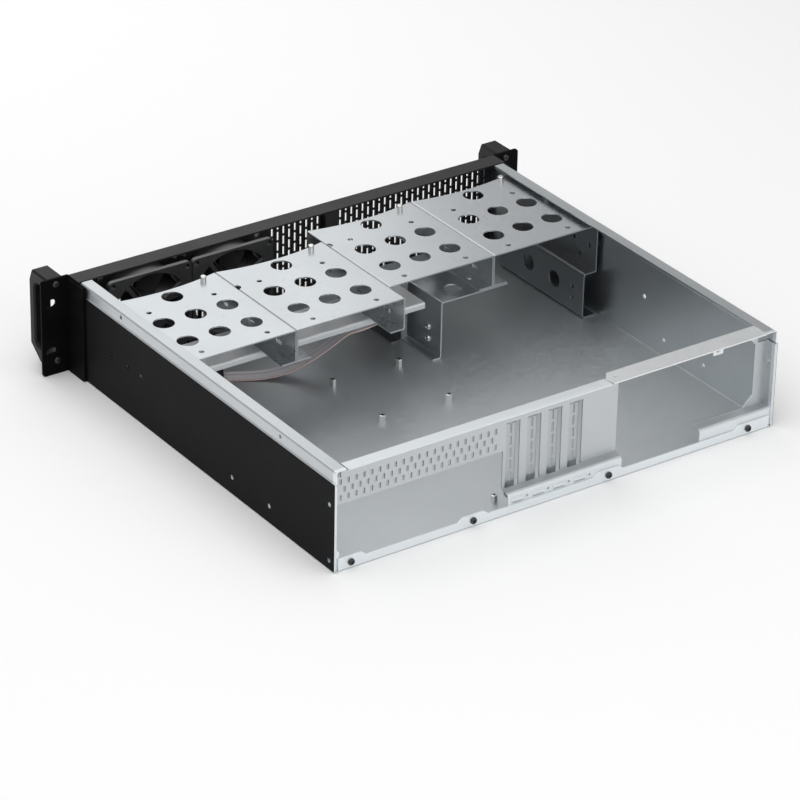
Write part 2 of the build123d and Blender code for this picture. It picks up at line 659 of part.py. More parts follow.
def fan_blade():
    """Twisted blade along +X, between the hub and the tip."""
    sections = []
    for radius, chord, pitch in zip((HUB_RADIUS - BLADE_ROOT, BLADE_TIP), BLADE_CHORD, BLADE_PITCH):
        plane = Plane(origin=(radius, 0, 0), x_dir=(0, 1, 0), z_dir=(1, 0, 0))
        sections.append(plane * (Rot(0, 0, pitch) * Rectangle(chord, BLADE_SHEET)))
    return loft(sections, ruled=True)


def bracket_centre(index):
    """X of the middle of a drive bracket; the first is at +X."""
    return (1.5 - index) * BRACKET_PITCH


def bracket_plan(index):
    """Top plate outline: straight sides and a hollow curved front edge."""
    x = bracket_centre(index)
    half = BRACKET_WIDTH / 2
    back = at_panel(BRACKET_BACK[index])
    front = back - BRACKET_LENGTH
    edge = ThreePointArc((x - half, front), (x, front + BRACKET_ARC), (x + half, front))
    sides = Polyline((x + half, front), (x + half, back), (x - half, back), (x - half, front))
    return make_face(edge + sides)


def bracket_holes(index):
    """Lightening and screw holes of one top plate."""
    x = bracket_centre(index)
    back = at_panel(BRACKET_BACK[index])
    holes = []
    for distance, count in zip(BIG_ROWS, BIG_COUNTS):
        for i in range(count):
            spot = (x + (i - (count - 1) / 2) * BIG_PITCH, back - distance)
            holes.append((spot, BIG_HOLE / 2))
    for distance in SMALL_ROWS:
        for side in (-1, 1):
            holes.append(((x + side * SMALL_OFFSET, back - distance), SMALL_HOLE / 2))
    if index in (1, 2):
        holes.append(((x + BRACKET_WIDTH / 2, back - EDGE_NOTCH_BACK), EDGE_NOTCH))
    return [rod(radius, (*spot, BRACKET_TOP - SHEET * 2), (*spot, REACH)) for spot, radius in holes]


def bracket_sides(index):
    """Sides that have a hanging wall; the outer two brackets rest on the case's wall supports instead."""
    return {0: (-1,), 3: (1,)}.get(index, (-1, 1))


def bracket_wall(index, side):
    """One hanging side of a bracket with its bottom flange and drive screw slots."""
    x = bracket_centre(index) + side * BRACKET_WIDTH / 2
    back = at_panel(BRACKET_BACK[index])
    front = back - BRACKET_LENGTH
    wall = block(x, x - side * SHEET, front, back, BRACKET_BASE, BRACKET_TOP)
    flange = block(x, x - side * BRACKET_FLANGE, front, back, BRACKET_BASE, BRACKET_BASE + SHEET)
    wall = wall + flange
    for distance in DRIVE_SLOT_BACK:
        middle = back - distance
        wall = wall - block(x - SHEET * 2, x + SHEET * 2,
                            middle - DRIVE_SLOT[0] / 2, middle + DRIVE_SLOT[0] / 2,
                            DRIVE_SLOT_Z - DRIVE_SLOT[1] / 2, DRIVE_SLOT_Z + DRIVE_SLOT[1] / 2)
    bend = [e for e in wall.edges().filter_by(Axis.Y) if abs(e.center().X - x) < SEAM]
    bend = [e for e in bend if e.center().Z < BRACKET_BASE + SEAM]
    return fillet(bend, BEND)


def drive_bracket(index):
    """Bracket that hangs a drive under its top plate."""
    plate = extrude(Plane.XY.offset(BRACKET_TOP - SHEET) * bracket_plan(index), amount=SHEET)
    for side in bracket_sides(index):
        plate = plate + bracket_wall(index, side)
    plate = plate - bracket_holes(index) - rivet_holes(index)
    for side in bracket_sides(index):
        x = bracket_centre(index) + side * BRACKET_WIDTH / 2
        bend = [e for e in plate.edges().filter_by(Axis.Y) if abs(e.center().X - x) < SEAM]
        bend = [e for e in bend if e.center().Z > BRACKET_TOP - SEAM]
        plate = fillet(bend, BRACKET_BEND)
    return plate


def rivet_spots(index):
    """Where a bracket's bottom flanges are riveted down."""
    x = bracket_centre(index)
    inset = BRACKET_WIDTH / 2 - RIVET_IN
    return [(x + side * inset, at_panel(RIVET_Y)) for side in bracket_sides(index)]


def rivet_holes(index):
    """Holes in the bottom flanges of one bracket."""
    return [rod(SCREW_SHANK + SEAM, (*spot, BRACKET_BASE - SHEET), (*spot, BRACKET_BASE + SHEET * 2))
            for spot in rivet_spots(index)]


def stud_spots():
    """Where the cover rest studs stand, one near the front of each bracket."""
    spots = []
    for index, back in enumerate(BRACKET_BACK):
        edge = bracket_centre(index) - BRACKET_WIDTH / 2
        spots.append((edge + STUD_IN, at_panel(back) - STUD_BACK))
    return spots


def cover_rest_studs():
    """Turned studs that stand on the bracket plates."""
    studs = []
    for x, y in stud_spots():
        stud = rod(STUD_RADIUS, (x, y, BRACKET_TOP), (x, y, STUD_TOP))
        studs.append(chamfer(stud.faces().sort_by(Axis.Z)[-1].edges(), STUD_EDGE))
    return studs


def cross_rail():
    """Deck under the left-hand brackets with turned-down edges."""
    front, back = (at_panel(y) for y in RAIL_Y)
    left = SUPPORT_UPPER - SHEET - SEAM
    points = [(back, DECK_Z - RAIL_LIP), (back, DECK_Z), (front, DECK_Z), (front, DECK_Z - RAIL_LIP)]
    rail = folded(points, [BEND + SHEET, BEND + SHEET], SHEET, Side.LEFT, sideways(RAIL_RIGHT),
                  left - RAIL_RIGHT)
    bent = SHEET + BEND
    end = block(left - SHEET, left, front + bent, back - bent, DECK_Z - RAIL_LIP, DECK_Z)
    rail = rail + end
    rail = rail - [rod(RAIL_HOLE / 2, (x, at_panel(y), 0), (x, at_panel(y), REACH)) for x, y in RAIL_HOLES]
    spots = [s for i in range(3) for s in rivet_spots(i) if s[0] > RAIL_RIGHT] + [post_rivet()]
    return rail - [rod(SCREW_SHANK + SEAM, (*s, DECK_Z - SHEET * 2), (*s, REACH)) for s in spots]


def post_rivet():
    """Where the rail is riveted to its post."""
    return POST_RIVET[0], at_panel(POST_RIVET[1])


def rail_post():
    """Upright under the inner end of the rail: a foot on the floor and a tab under the rail."""
    front, back = (at_panel(y) for y in POST_Y)
    top = DECK_Z - SHEET * 2 - SEAM
    points = [(POST_X + POST_FOOT, FOOT_TOP), (POST_X, FOOT_TOP), (POST_X, top), (POST_X + POST_FOOT, top)]
    post = folded(points, [BEND, BEND], SHEET, Side.LEFT, forward(back), back - front)
    post = post - block(POST_X + SEAM, REACH, front - 1, at_panel(POST_TAB_Y),
                        DECK_Z - RAIL_LIP - SHEET - SEAM, DECK_Z)
    spot = post_rivet()
    return post - rod(SCREW_SHANK + SEAM, (*spot, DECK_Z - SHEET * 3), (*spot, REACH))


def wall_support(side):
    """Stepped bracket along a side wall that carries the outer edge of a bracket."""
    back = SUPPORT_BACK[0 if side > 0 else 1]
    top = BRACKET_TOP - SHEET - SEAM
    points = [(-SUPPORT_UPPER, top), (-SUPPORT_UPPER, SUPPORT_STEP_Z), (-SUPPORT_LOWER, SUPPORT_STEP_Z)]
    points += [(-SUPPORT_LOWER, FOOT_TOP), (-SUPPORT_UPPER, FOOT_TOP)]
    support = folded(points, [BEND, BEND + SHEET, BEND + SHEET], SHEET, Side.LEFT,
                     forward(at_panel(back)), back - SUPPORT_FRONT)
    cutters = [rod(SUPPORT_BIG_HOLE / 2, (-REACH, at_panel(y), z), (0, at_panel(y), z))
               for y, z in SUPPORT_BIG]
    cutters += [rod(SUPPORT_HOLE / 2, (-REACH, at_panel(y), z), (0, at_panel(y), z))
                for y, z in SUPPORT_SMALL + SUPPORT_UPPER_SMALL]
    support = support - cutters
    return mirror(support, about=Plane.YZ) if side > 0 else support


def centre_support():
    """Post in the middle: foot on the floor, upright and a shelf under two brackets."""
    front, back = (at_panel(y) for y in CENTRE_Y)
    points = [(CENTRE_X + CENTRE_FOOT, FOOT_TOP), (CENTRE_X, FOOT_TOP), (CENTRE_X, DECK_Z)]
    points.append((CENTRE_SHELF_END, DECK_Z))
    post = folded(points, [BEND, BEND + SHEET], SHEET, Side.LEFT, forward(back), back - front)
    x, y = CENTRE_HOLE
    post = post - rod(CENTRE_HOLE_SIZE / 2, (x, at_panel(y), 0), (x, at_panel(y), REACH))
    spots = [s for i in (2, 3) for s in rivet_spots(i) if s[0] < CENTRE_X]
    post = post - [rod(SCREW_SHANK + SEAM, (*s, DECK_Z - SHEET * 2), (*s, REACH)) for s in spots]
    return post - [rod(SCREW_SHANK + SEAM, (CENTRE_X - SHEET * 2, at_panel(CENTRE_SCREW_Y), z),
                       (CENTRE_X + SHEET * 2, at_panel(CENTRE_SCREW_Y), z)) for z in CENTRE_SCREW_Z]


def standoffs():
    """Hexagonal mainboard standoffs pressed into the floor."""
    parts = []
    for x in STANDOFF_X:
        for back in STANDOFF_BACK:
            if x > SUPPORT_LOWER and back == STANDOFF_BACK[-1]:
                continue
            plane = Plane(origin=(x, REAR_Y - back, SHEET))
            hexagon = RegularPolygon(STANDOFF_FLATS / 2, 6, major_radius=False)
            shape = extrude(plane * hexagon, amount=STANDOFF_HEIGHT)
            shape = chamfer(shape.faces().sort_by(Axis.Z)[-1].edges(), STANDOFF_EDGE)
            bore = extrude(plane.offset(STANDOFF_FLOOR) * Circle(STANDOFF_BORE), amount=STANDOFF_HEIGHT)
            parts.append(shape - bore)
    return parts


def control_module():
    """Housing behind the panel that guides the buttons and holds the lamps."""
    front = at_panel(PANEL_SHEET + SEAM)
    half = CONTROL_WIDTH / 2
    box = block(CONTROL_X - half, CONTROL_X + half, front, front + MODULE_DEPTH, CONTROL_BASE, CONTROL_TOP)
    wells = [rod(radius + MODULE_GAP, (CONTROL_X, PANEL_Y, z), (CONTROL_X, front + WELL_DEPTH, z))
             for radius, z in ((BUTTON_RADIUS, BUTTON_Z), (RESET_RADIUS, RESET_Z))]
    return box - wells


def push_button(radius, z):
    """Round button with a slightly domed front edge."""
    front = PANEL_Y - BUTTON_PROUD
    button = rod(radius, (CONTROL_X, front, z), (CONTROL_X, front + BUTTON_LENGTH, z))
    return fillet(button.faces().sort_by(Axis.Y)[0].edges(), BUTTON_ROUND)


def lamp_lenses():
    """Two small lamp lenses level with the panel face."""
    back = at_panel(PANEL_SHEET + SEAM)
    return [rod(LENS_RADIUS, (CONTROL_X, PANEL_Y - LENS_PROUD, z), (CONTROL_X, back, z)) for z in LENS_Z]


def turn_radii(points):
    """As large an arc at each corner as the two runs beside it allow."""
    radii = []
    for a, b, c in zip(points, points[1:], points[2:]):
        first = Vector(b[0] - a[0], b[1] - a[1])
        second = Vector(c[0] - b[0], c[1] - b[1])
        turn = math.radians(first.get_angle(second))
        radii.append(CABLE_TURN_SHARE * min(first.length, second.length) / math.tan(turn / 2))
    return radii


def cable_front():
    """Run of the flat cable from the module back under the rail."""
    start = at_panel(PANEL_SHEET + SEAM) + MODULE_DEPTH + PLUG_DEPTH
    end = at_panel(CABLE_BACK_Y) + CABLE_WIDTH / 2
    low = CABLE_UNDER
    first, second, third = (start + step for step in CABLE_STEPS)
    points = [(start, CABLE_EXIT_Z), (first, CABLE_EXIT_Z - CABLE_SAG), (second, low + CABLE_SHEET)]
    points += [(third, low), (end, low)]
    radii = turn_radii(points)
    print("front cable radii", [round(r) for r in radii])
    plane = sideways(CABLE_FRONT_X - CABLE_WIDTH / 2)
    return folded(points, radii, CABLE_SHEET, Side.LEFT, plane, CABLE_WIDTH)


def cable_turn():
    """Where the cable turns out from under the rail: a frame whose X runs along the cable."""
    return Pos(CABLE_TURN_X, at_panel(CABLE_BACK_Y), 0) * Rot(0, 0, CABLE_TURN_ANGLE)


def cable_back():
    """Run of the flat cable along the rail, then slanting down to the floor."""
    points = [(CABLE_DROP_FROM, CABLE_UNDER), *CABLE_DROP, (CABLE_END, SHEET + SEAM + CABLE_SHEET)]
    radii = turn_radii(points)
    print("rear cable radii", [round(r) for r in radii])
    drop = folded(points, radii, CABLE_SHEET, Side.RIGHT, forward(CABLE_WIDTH / 2), CABLE_WIDTH)
    y = at_panel(CABLE_BACK_Y)
    level = block(CABLE_FRONT_X - CABLE_WIDTH / 2, CABLE_TURN_X + CABLE_DROP_FROM / 2,
                  y - CABLE_WIDTH / 2, y + CABLE_WIDTH / 2, CABLE_UNDER - CABLE_SHEET, CABLE_UNDER)
    return level + cable_turn() * drop


def cable_plugs():
    """Plug in the module and the loose plug on the floor."""
    rear = at_panel(PANEL_SHEET + SEAM) + MODULE_DEPTH
    fixed = block(CABLE_FRONT_X - PLUG_WIDTH / 2, CABLE_FRONT_X + PLUG_WIDTH / 2, rear, rear + PLUG_DEPTH,
                  CABLE_EXIT_Z - PLUG_HEIGHT / 2, CABLE_EXIT_Z + PLUG_HEIGHT / 2)
    floor = SHEET + SEAM
    loose = block(CABLE_END, CABLE_END + PLUG_DEPTH, -PLUG_WIDTH / 2, PLUG_WIDTH / 2,
                  floor, floor + PLUG_HEIGHT)
    return fixed, cable_turn() * loose


def fan_screws():
    """Screws through the front flange of each fan into the panel."""
    seat = at_panel(PANEL_SHEET + SEAM) + FAN_FLANGE
    return [screw((x, seat, z), (0, 1, 0), seat - PANEL_Y) for x, z in fan_holes()]


def handle_screws():
    """Screws through the ears into the handles."""
    x = HANDLE_INNER_X + HANDLE_WIDTH / 2
    return [screw((side * x, PANEL_Y + EAR_SHEET, z), (0, 1, 0), EAR_SHEET)
            for side in (-1, 1) for z in HANDLE_SCREW_Z]


def rear_screws():
    """Screws through the rear lip."""
    return [screw((x, REAR_Y, LIP_SCREW_Z), (0, 1, 0), SHEET) for x in LIP_SCREW_X]


def bracket_rivets():
    """Low rivets that hold the brackets to the rail and the shelf, clear of a drive above."""
    rivets = [rivet(*spot, BRACKET_BASE + SHEET) for index in range(4) for spot in rivet_spots(index)]
    return rivets + [rivet(*post_rivet(), DECK_Z)]


def rivet(x, y, seat):
    """Low rivet through two sheets, with its head on the seat."""
    head = rod(RIVET_HEAD, (x, y, seat), (x, y, seat + RIVET_RISE))
    head = chamfer(head.faces().sort_by(Axis.Z)[-1].edges(), RIVET_RISE * 0.5)
    return head + rod(SCREW_SHANK, (x, y, seat - SHEET * 2 - SEAM), (x, y, seat))


def centre_screws():
    """Screws in the upright of the centre support."""
    return [screw((CENTRE_X, at_panel(CENTRE_SCREW_Y), z), (1, 0, 0), SHEET * 2) for z in CENTRE_SCREW_Z]


def save(name, *solids):
    """Write one named sub-part."""
    flat = []
    for item in solids:
        flat += item if isinstance(item, list) else [item]
    shape = flat[0] if len(flat) == 1 else Compound(children=flat)
    shape.label = name
    export_step(shape, f"parts/{name}.step")
    return shape


def main():
    """Build and write every sub-part."""
    os.makedirs("parts", exist_ok=True)
    save("chassis_tray", tray())
    save("rear_panel", rear_panel_with_bridges())
    save("rear_top_rail", top_rail())
    for number, x in enumerate(slot_centres(), 1):
        save(f"slot_cover_{number}", slot_cover(x))
    save("front_panel", front_panel())
    for name, side in (("left", 1), ("right", -1)):
        save(f"rack_ear_{name}", rack_ear(side))
        save(f"handle_{name}", handle(side))
        save(f"wall_support_{name}", wall_support(side))
    for number, x in enumerate(FAN_X, 1):
        save(f"fan_frame_{number}", fan_frame(x))
        save(f"fan_rotor_{number}", fan_rotor(x))
    for index in range(4):
        save(f"drive_bracket_{index + 1}", drive_bracket(index))
    save("cover_rest_studs", cover_rest_studs())
    save("cross_rail", cross_rail())
    save("centre_support", centre_support())
    save("rail_post", rail_post())
    save("mainboard_standoffs", standoffs())
    save("control_module", control_module())
    save("power_button", push_button(BUTTON_RADIUS, BUTTON_Z))
    save("reset_button", push_button(RESET_RADIUS, RESET_Z))
    save("lamp_lenses", lamp_lenses())
    save("ribbon_cable_front", cable_front())
    save("ribbon_cable_rear", cable_back())
    fixed, loose = cable_plugs()
    save("ribbon_plug_front", fixed)
    save("ribbon_plug_rear", loose)
    save("fan_screws", fan_screws())
    save("handle_screws", handle_screws())
    save("rear_screws", rear_screws())
    save("bracket_rivets", bracket_rivets())
    save("centre_screws", centre_screws())


main()
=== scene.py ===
"""Dresses the empty rackmount case: finishes, flat cable, screws, studio and camera.

Names that end in _mm, _px or _deg are in millimetres, pixels or degrees. Other lengths are in metres. In a
finish, a mark's _range is the part of its noise over which it sets in, its _shade is how much paler or
darker it is, and its _rough is how far it moves the roughness.
"""
import logging
import math
from dataclasses import dataclass, field
from enum import Enum, IntEnum
from typing import Dict, List, Optional, Sequence, Tuple, Union

import bmesh
import bpy
from mathutils import Matrix, Vector


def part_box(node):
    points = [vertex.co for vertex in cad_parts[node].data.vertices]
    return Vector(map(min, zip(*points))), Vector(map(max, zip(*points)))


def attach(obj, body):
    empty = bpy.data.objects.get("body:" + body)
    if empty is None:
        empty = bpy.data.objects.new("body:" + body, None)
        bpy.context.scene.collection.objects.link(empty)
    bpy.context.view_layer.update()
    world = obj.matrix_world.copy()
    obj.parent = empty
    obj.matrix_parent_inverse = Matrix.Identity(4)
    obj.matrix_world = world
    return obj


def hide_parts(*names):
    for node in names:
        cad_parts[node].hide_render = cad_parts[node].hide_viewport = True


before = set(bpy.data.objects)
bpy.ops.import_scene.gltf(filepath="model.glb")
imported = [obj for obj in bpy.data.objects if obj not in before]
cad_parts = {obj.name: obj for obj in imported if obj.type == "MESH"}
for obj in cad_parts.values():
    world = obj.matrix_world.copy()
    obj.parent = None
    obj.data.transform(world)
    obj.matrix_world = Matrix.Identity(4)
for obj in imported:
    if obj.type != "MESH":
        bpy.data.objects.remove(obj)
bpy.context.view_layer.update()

LOG = logging.getLogger("rack_case")
MM = 0.001
HAIR = 0.001 * MM
CASE_BODY = "case"
PLACE_DIGITS = 5
CONDUCTORS = 10
STRIP_MAP = "strip"
Socket = bpy.types.NodeSocket
Value = Union[float, Socket]
Colour = Tuple[float, float, float]
Range = Tuple[float, float]
NOISE_RANGE: Range = (0.3, 0.7)


class Axis(IntEnum):
    """Axes of the case's frame: across, to the rear and up."""

    X = 0
    Y = 1
    Z = 2


class Grain(Enum):
    """Patch size of the rolling grain along X, Y and Z in millimetres, named for the axis with fine lines."""

    FINE_X = (0.35, 24.0, 24.0)
    FINE_Y = (24.0, 0.35, 24.0)
    FINE_Z = (24.0, 24.0, 0.35)


class Sum(Enum):
    """The sums that a finish's nodes do, by Blender's names for them."""

    ADD = "ADD"
    SUBTRACT = "SUBTRACT"
    MULTIPLY = "MULTIPLY"
    REMAINDER = "MODULO"
    FRACTION = "FRACT"
    FLOOR = "FLOOR"
    SIZE = "ABSOLUTE"
    LARGER = "MAXIMUM"
    BELOW = "LESS_THAN"
    ABOVE = "GREATER_THAN"


def shade(tint: Colour, share: float) -> Colour:
    """Darken or lighten a colour by a share, up to white."""
    return tuple(min(1.0, part * share) for part in tint)


class NodeDesk:
    """Adds, sets and joins the nodes of one material."""

    EDGE_SAMPLES = 4
    MIX_FIRST = 6
    MIX_SECOND = 7
    MIX_RESULT = 2

    def __init__(self, name: str) -> None:
        """Start a material with one shader.

        Args:
            name: The material's name.
        """
        self.material = bpy.data.materials.new(name)
        self.material.use_nodes = True
        self.tree = self.material.node_tree
        self.tree.nodes.clear()
        self.shader = self.tree.nodes.new("ShaderNodeBsdfPrincipled")
        output = self.tree.nodes.new("ShaderNodeOutputMaterial")
        self.tree.links.new(self.shader.outputs["BSDF"], output.inputs["Surface"])
        self.place = self.tree.nodes.new("ShaderNodeTexCoord").outputs["Object"]

    def put(self, target: Socket, value: object) -> None:
        """Link a socket to the target, or set the target's own value.

        Args:
            target: The input socket.
            value: An output socket, a number or a colour.
        """
        if isinstance(value, bpy.types.NodeSocket):
            self.tree.links.new(value, target)
        elif isinstance(value, tuple) and len(value) == 3 and target.type == "RGBA":
            target.default_value = (*value, 1.0)
        else:
            target.default_value = value

    def surface(self, **settings: object) -> None:
        """Set the shader's inputs, named with underscores for spaces."""
        for name, value in settings.items():
            self.put(self.shader.inputs[name.replace("_", " ")], value)

    def calc(self, operation: Sum, first: Value, second: Value = 0.0) -> Socket:
        """Do one sum.

        Args:
            operation: Which sum it is.
            first: The first number or socket.
            second: The second number or socket, where the sum takes two.

        Returns:
            The result's socket.
        """
        node = self.tree.nodes.new("ShaderNodeMath")
        node.operation = operation.value
        self.put(node.inputs[0], first)
        self.put(node.inputs[1], second)
        return node.outputs[0]

    def split(self, vector: Socket) -> Tuple[Socket, Socket, Socket]:
        """Take a vector apart.

        Args:
            vector: The vector's socket.

        Returns:
            Its X, Y and Z sockets.
        """
        node = self.tree.nodes.new("ShaderNodeSeparateXYZ")
        self.put(node.inputs[0], vector)
        return node.outputs[0], node.outputs[1], node.outputs[2]

    def mapped(self, scale: Sequence[float], turn: Sequence[float] = (0, 0, 0)) -> Socket:
        """Scale and turn the object's own coordinates.

        Args:
            scale: Factor along each axis.
            turn: Turn about each axis in degrees.

        Returns:
            The new vector's socket.
        """
        node = self.tree.nodes.new("ShaderNodeMapping")
        self.put(node.inputs["Vector"], self.place)
        node.inputs["Scale"].default_value = tuple(scale)
        node.inputs["Rotation"].default_value = tuple(math.radians(t) for t in turn)
        return node.outputs[0]

    def noise(self, grain: Union[float, Sequence[float]], detail: float = 3.0,
              turn: Sequence[float] = (0, 0, 0)) -> Socket:
        """Cloudy pattern.

        Args:
            grain: Size of a patch in millimetres, one number or one for each axis.
            detail: Octaves of finer pattern.
            turn: Turn of the pattern in degrees.

        Returns:
            The pattern's socket, from 0 to 1.
        """
        sizes = (grain,) * 3 if isinstance(grain, (int, float)) else grain
        node = self.tree.nodes.new("ShaderNodeTexNoise")
        self.put(node.inputs["Vector"], self.mapped([1 / (s * MM) for s in sizes], turn))
        node.inputs["Scale"].default_value = 1.0
        node.inputs["Detail"].default_value = detail
        return node.outputs["Fac"]

    def cells(self, grain: float) -> Socket:
        """Patchwork of flat cells, as on zinc.

        Args:
            grain: Size of a cell in millimetres.

        Returns:
            A grey value for each cell.
        """
        node = self.tree.nodes.new("ShaderNodeTexVoronoi")
        self.put(node.inputs["Vector"], self.mapped([1 / (grain * MM)] * 3))
        node.inputs["Scale"].default_value = 1.0
        parts = self.tree.nodes.new("ShaderNodeSeparateColor")
        self.put(parts.inputs[0], node.outputs["Color"])
        return parts.outputs[0]

    def span(self, value: Socket, source: Range, result: Range = (0.0, 1.0)) -> Socket:
        """Stretch a range onto another and clamp it.

        Args:
            value: The number's socket.
            source: Start and end of the range.
            result: What its start and its end become.

        Returns:
            The result's socket.
        """
        node = self.tree.nodes.new("ShaderNodeMapRange")
        self.put(node.inputs[0], value)
        for i, number in enumerate((*source, *result), 1):
            node.inputs[i].default_value = number
        return node.outputs[0]

    def blend(self, share: Value, first: object, second: object) -> Socket:
        """Mix two colours.

        Args:
            share: How much of the second one.
            first: Colour or socket.
            second: Colour or socket.

        Returns:
            The mixed colour's socket.
        """
        node = self.tree.nodes.new("ShaderNodeMix")
        node.data_type = "RGBA"
        self.put(node.inputs[0], share)
        self.put(node.inputs[self.MIX_FIRST], first)
        self.put(node.inputs[self.MIX_SECOND], second)
        return node.outputs[self.MIX_RESULT]

    def choose(self, mask: Socket, outside: Socket, inside: Socket) -> Socket:
        """Take one number inside a mask and another outside it."""
        rest = self.calc(Sum.SUBTRACT, 1.0, mask)
        return self.calc(Sum.ADD, self.calc(Sum.MULTIPLY, outside, rest),
                         self.calc(Sum.MULTIPLY, inside, mask))

    def relief(self, height: Socket, depth_mm: float, edge_mm: float = 0.0) -> None:
        """Give the shader a bumpy normal with softened edges.

        Args:
            height: The pattern's socket.
            depth_mm: How deep the pattern is in millimetres.
            edge_mm: Radius of the softened edges, or 0 for none.
        """
        node = self.tree.nodes.new("ShaderNodeBump")
        node.inputs["Distance"].default_value = depth_mm * MM
        self.put(node.inputs["Height"], height)
        if edge_mm:
            edge = self.tree.nodes.new("ShaderNodeBevel")
            edge.samples = self.EDGE_SAMPLES
            edge.inputs["Radius"].default_value = edge_mm * MM
            self.put(node.inputs["Normal"], edge.outputs[0])
        self.put(self.shader.inputs["Normal"], node.outputs[0])


@dataclass(frozen=True)
class BlackPowder:
    """Black powder coat: fine orange-peel grain, a few worn patches."""

    name: str
    tint: Colour = (0.008, 0.008, 0.009)
    rough: float = 0.46
    shine: float = 0.4
    grain_mm: float = 0.7
    depth_mm: float = 0.03
    peel_rough: float = 0.03
    peel_rise: float = 2.0
    patch_mm: float = 38.0
    patch_range: Range = (0.42, 0.72)
    patch_shade: float = 1.5
    patch_rough: Range = (-0.05, 0.06)
    edge_mm: float = 0.5

    def coat(self, desk: NodeDesk) -> Tuple[Socket, Socket, Socket]:
        """Lay the coat's pattern.

        Args:
            desk: The material's node desk.

        Returns:
            Colour, roughness and height sockets.
        """
        peel = desk.noise(self.grain_mm, detail=2.0)
        patch = desk.noise(self.patch_mm, detail=4.0)
        colour = desk.blend(desk.span(patch, self.patch_range), self.tint, shade(self.tint, self.patch_shade))
        low, high = self.patch_rough
        rough = desk.calc(Sum.ADD, desk.span(patch, NOISE_RANGE, (self.rough + low, self.rough + high)),
                          desk.span(peel, NOISE_RANGE, (-self.peel_rough, self.peel_rough)))
        return colour, rough, desk.calc(Sum.MULTIPLY, peel, self.peel_rise)

    def build(self) -> bpy.types.Material:
        """Make the material.

        Returns:
            The finished material.
        """
        desk = NodeDesk(self.name)
        colour, rough, height = self.coat(desk)
        desk.surface(Base_Color=colour, Roughness=rough, Metallic=0.0, Specular_IOR_Level=self.shine)
        desk.relief(height, self.depth_mm / self.peel_rise, self.edge_mm)
        return desk.material


@dataclass(frozen=True)
class TrayPaint:
    """Paint on the tray's outer walls, up to the bare strip, and on its underside.

    Attributes:
        powder: The paint itself.
        wall_mm: Distance of the walls' outer faces from the middle.
        top_mm: Height at which the bare strip begins.
        skin_mm: How far under an outer face the mask reaches.
        relief_mm: Depth of the pattern on the whole tray.
    """

    powder: BlackPowder
    wall_mm: float = 215.0
    top_mm: float = 77.4
    skin_mm: float = 0.35
    relief_mm: float = 0.014

    def mask(self, desk: NodeDesk) -> Socket:
        """Mark the painted faces.

        Args:
            desk: The material's node desk.

        Returns:
            1 where the paint is and 0 elsewhere.
        """
        x, _, z = desk.split(desk.place)
        wide = desk.calc(Sum.ABOVE, desk.calc(Sum.SIZE, x), (self.wall_mm - self.skin_mm) * MM)
        low = desk.calc(Sum.BELOW, z, self.top_mm * MM)
        under = desk.calc(Sum.BELOW, z, self.skin_mm * MM)
        return desk.calc(Sum.LARGER, desk.calc(Sum.MULTIPLY, wide, low), under)


@dataclass(frozen=True)
class SheetMarks:
    """Grain, flakes, clouds, spots and scratches of bare sheet, and its paler edges, which are a painted
    highlight.
    """

    grain_rise: float = 0.6
    flake_mm: float = 2.6
    flake_rise: float = 0.25
    flake_shade: float = 1.05
    flake_share: float = 0.35
    flake_rough: float = 0.025
    cloud_mm: float = 55.0
    cloud_range: Range = (0.35, 0.7)
    cloud_shade: float = 0.96
    spot_mm: float = 7.0
    spot_range: Range = (0.58, 0.74)
    spot_rough: float = 0.06
    scratch_mm: Tuple[float, float, float] = (0.12, 46.0, 46.0)
    scratch_deg: float = 31.0
    scratch_range: Range = (0.74, 0.8)
    scratch_rough: float = 0.12
    scratch_depth: float = 0.5
    highlight_shade: float = 1.42
    highlight_rough: float = 0.08


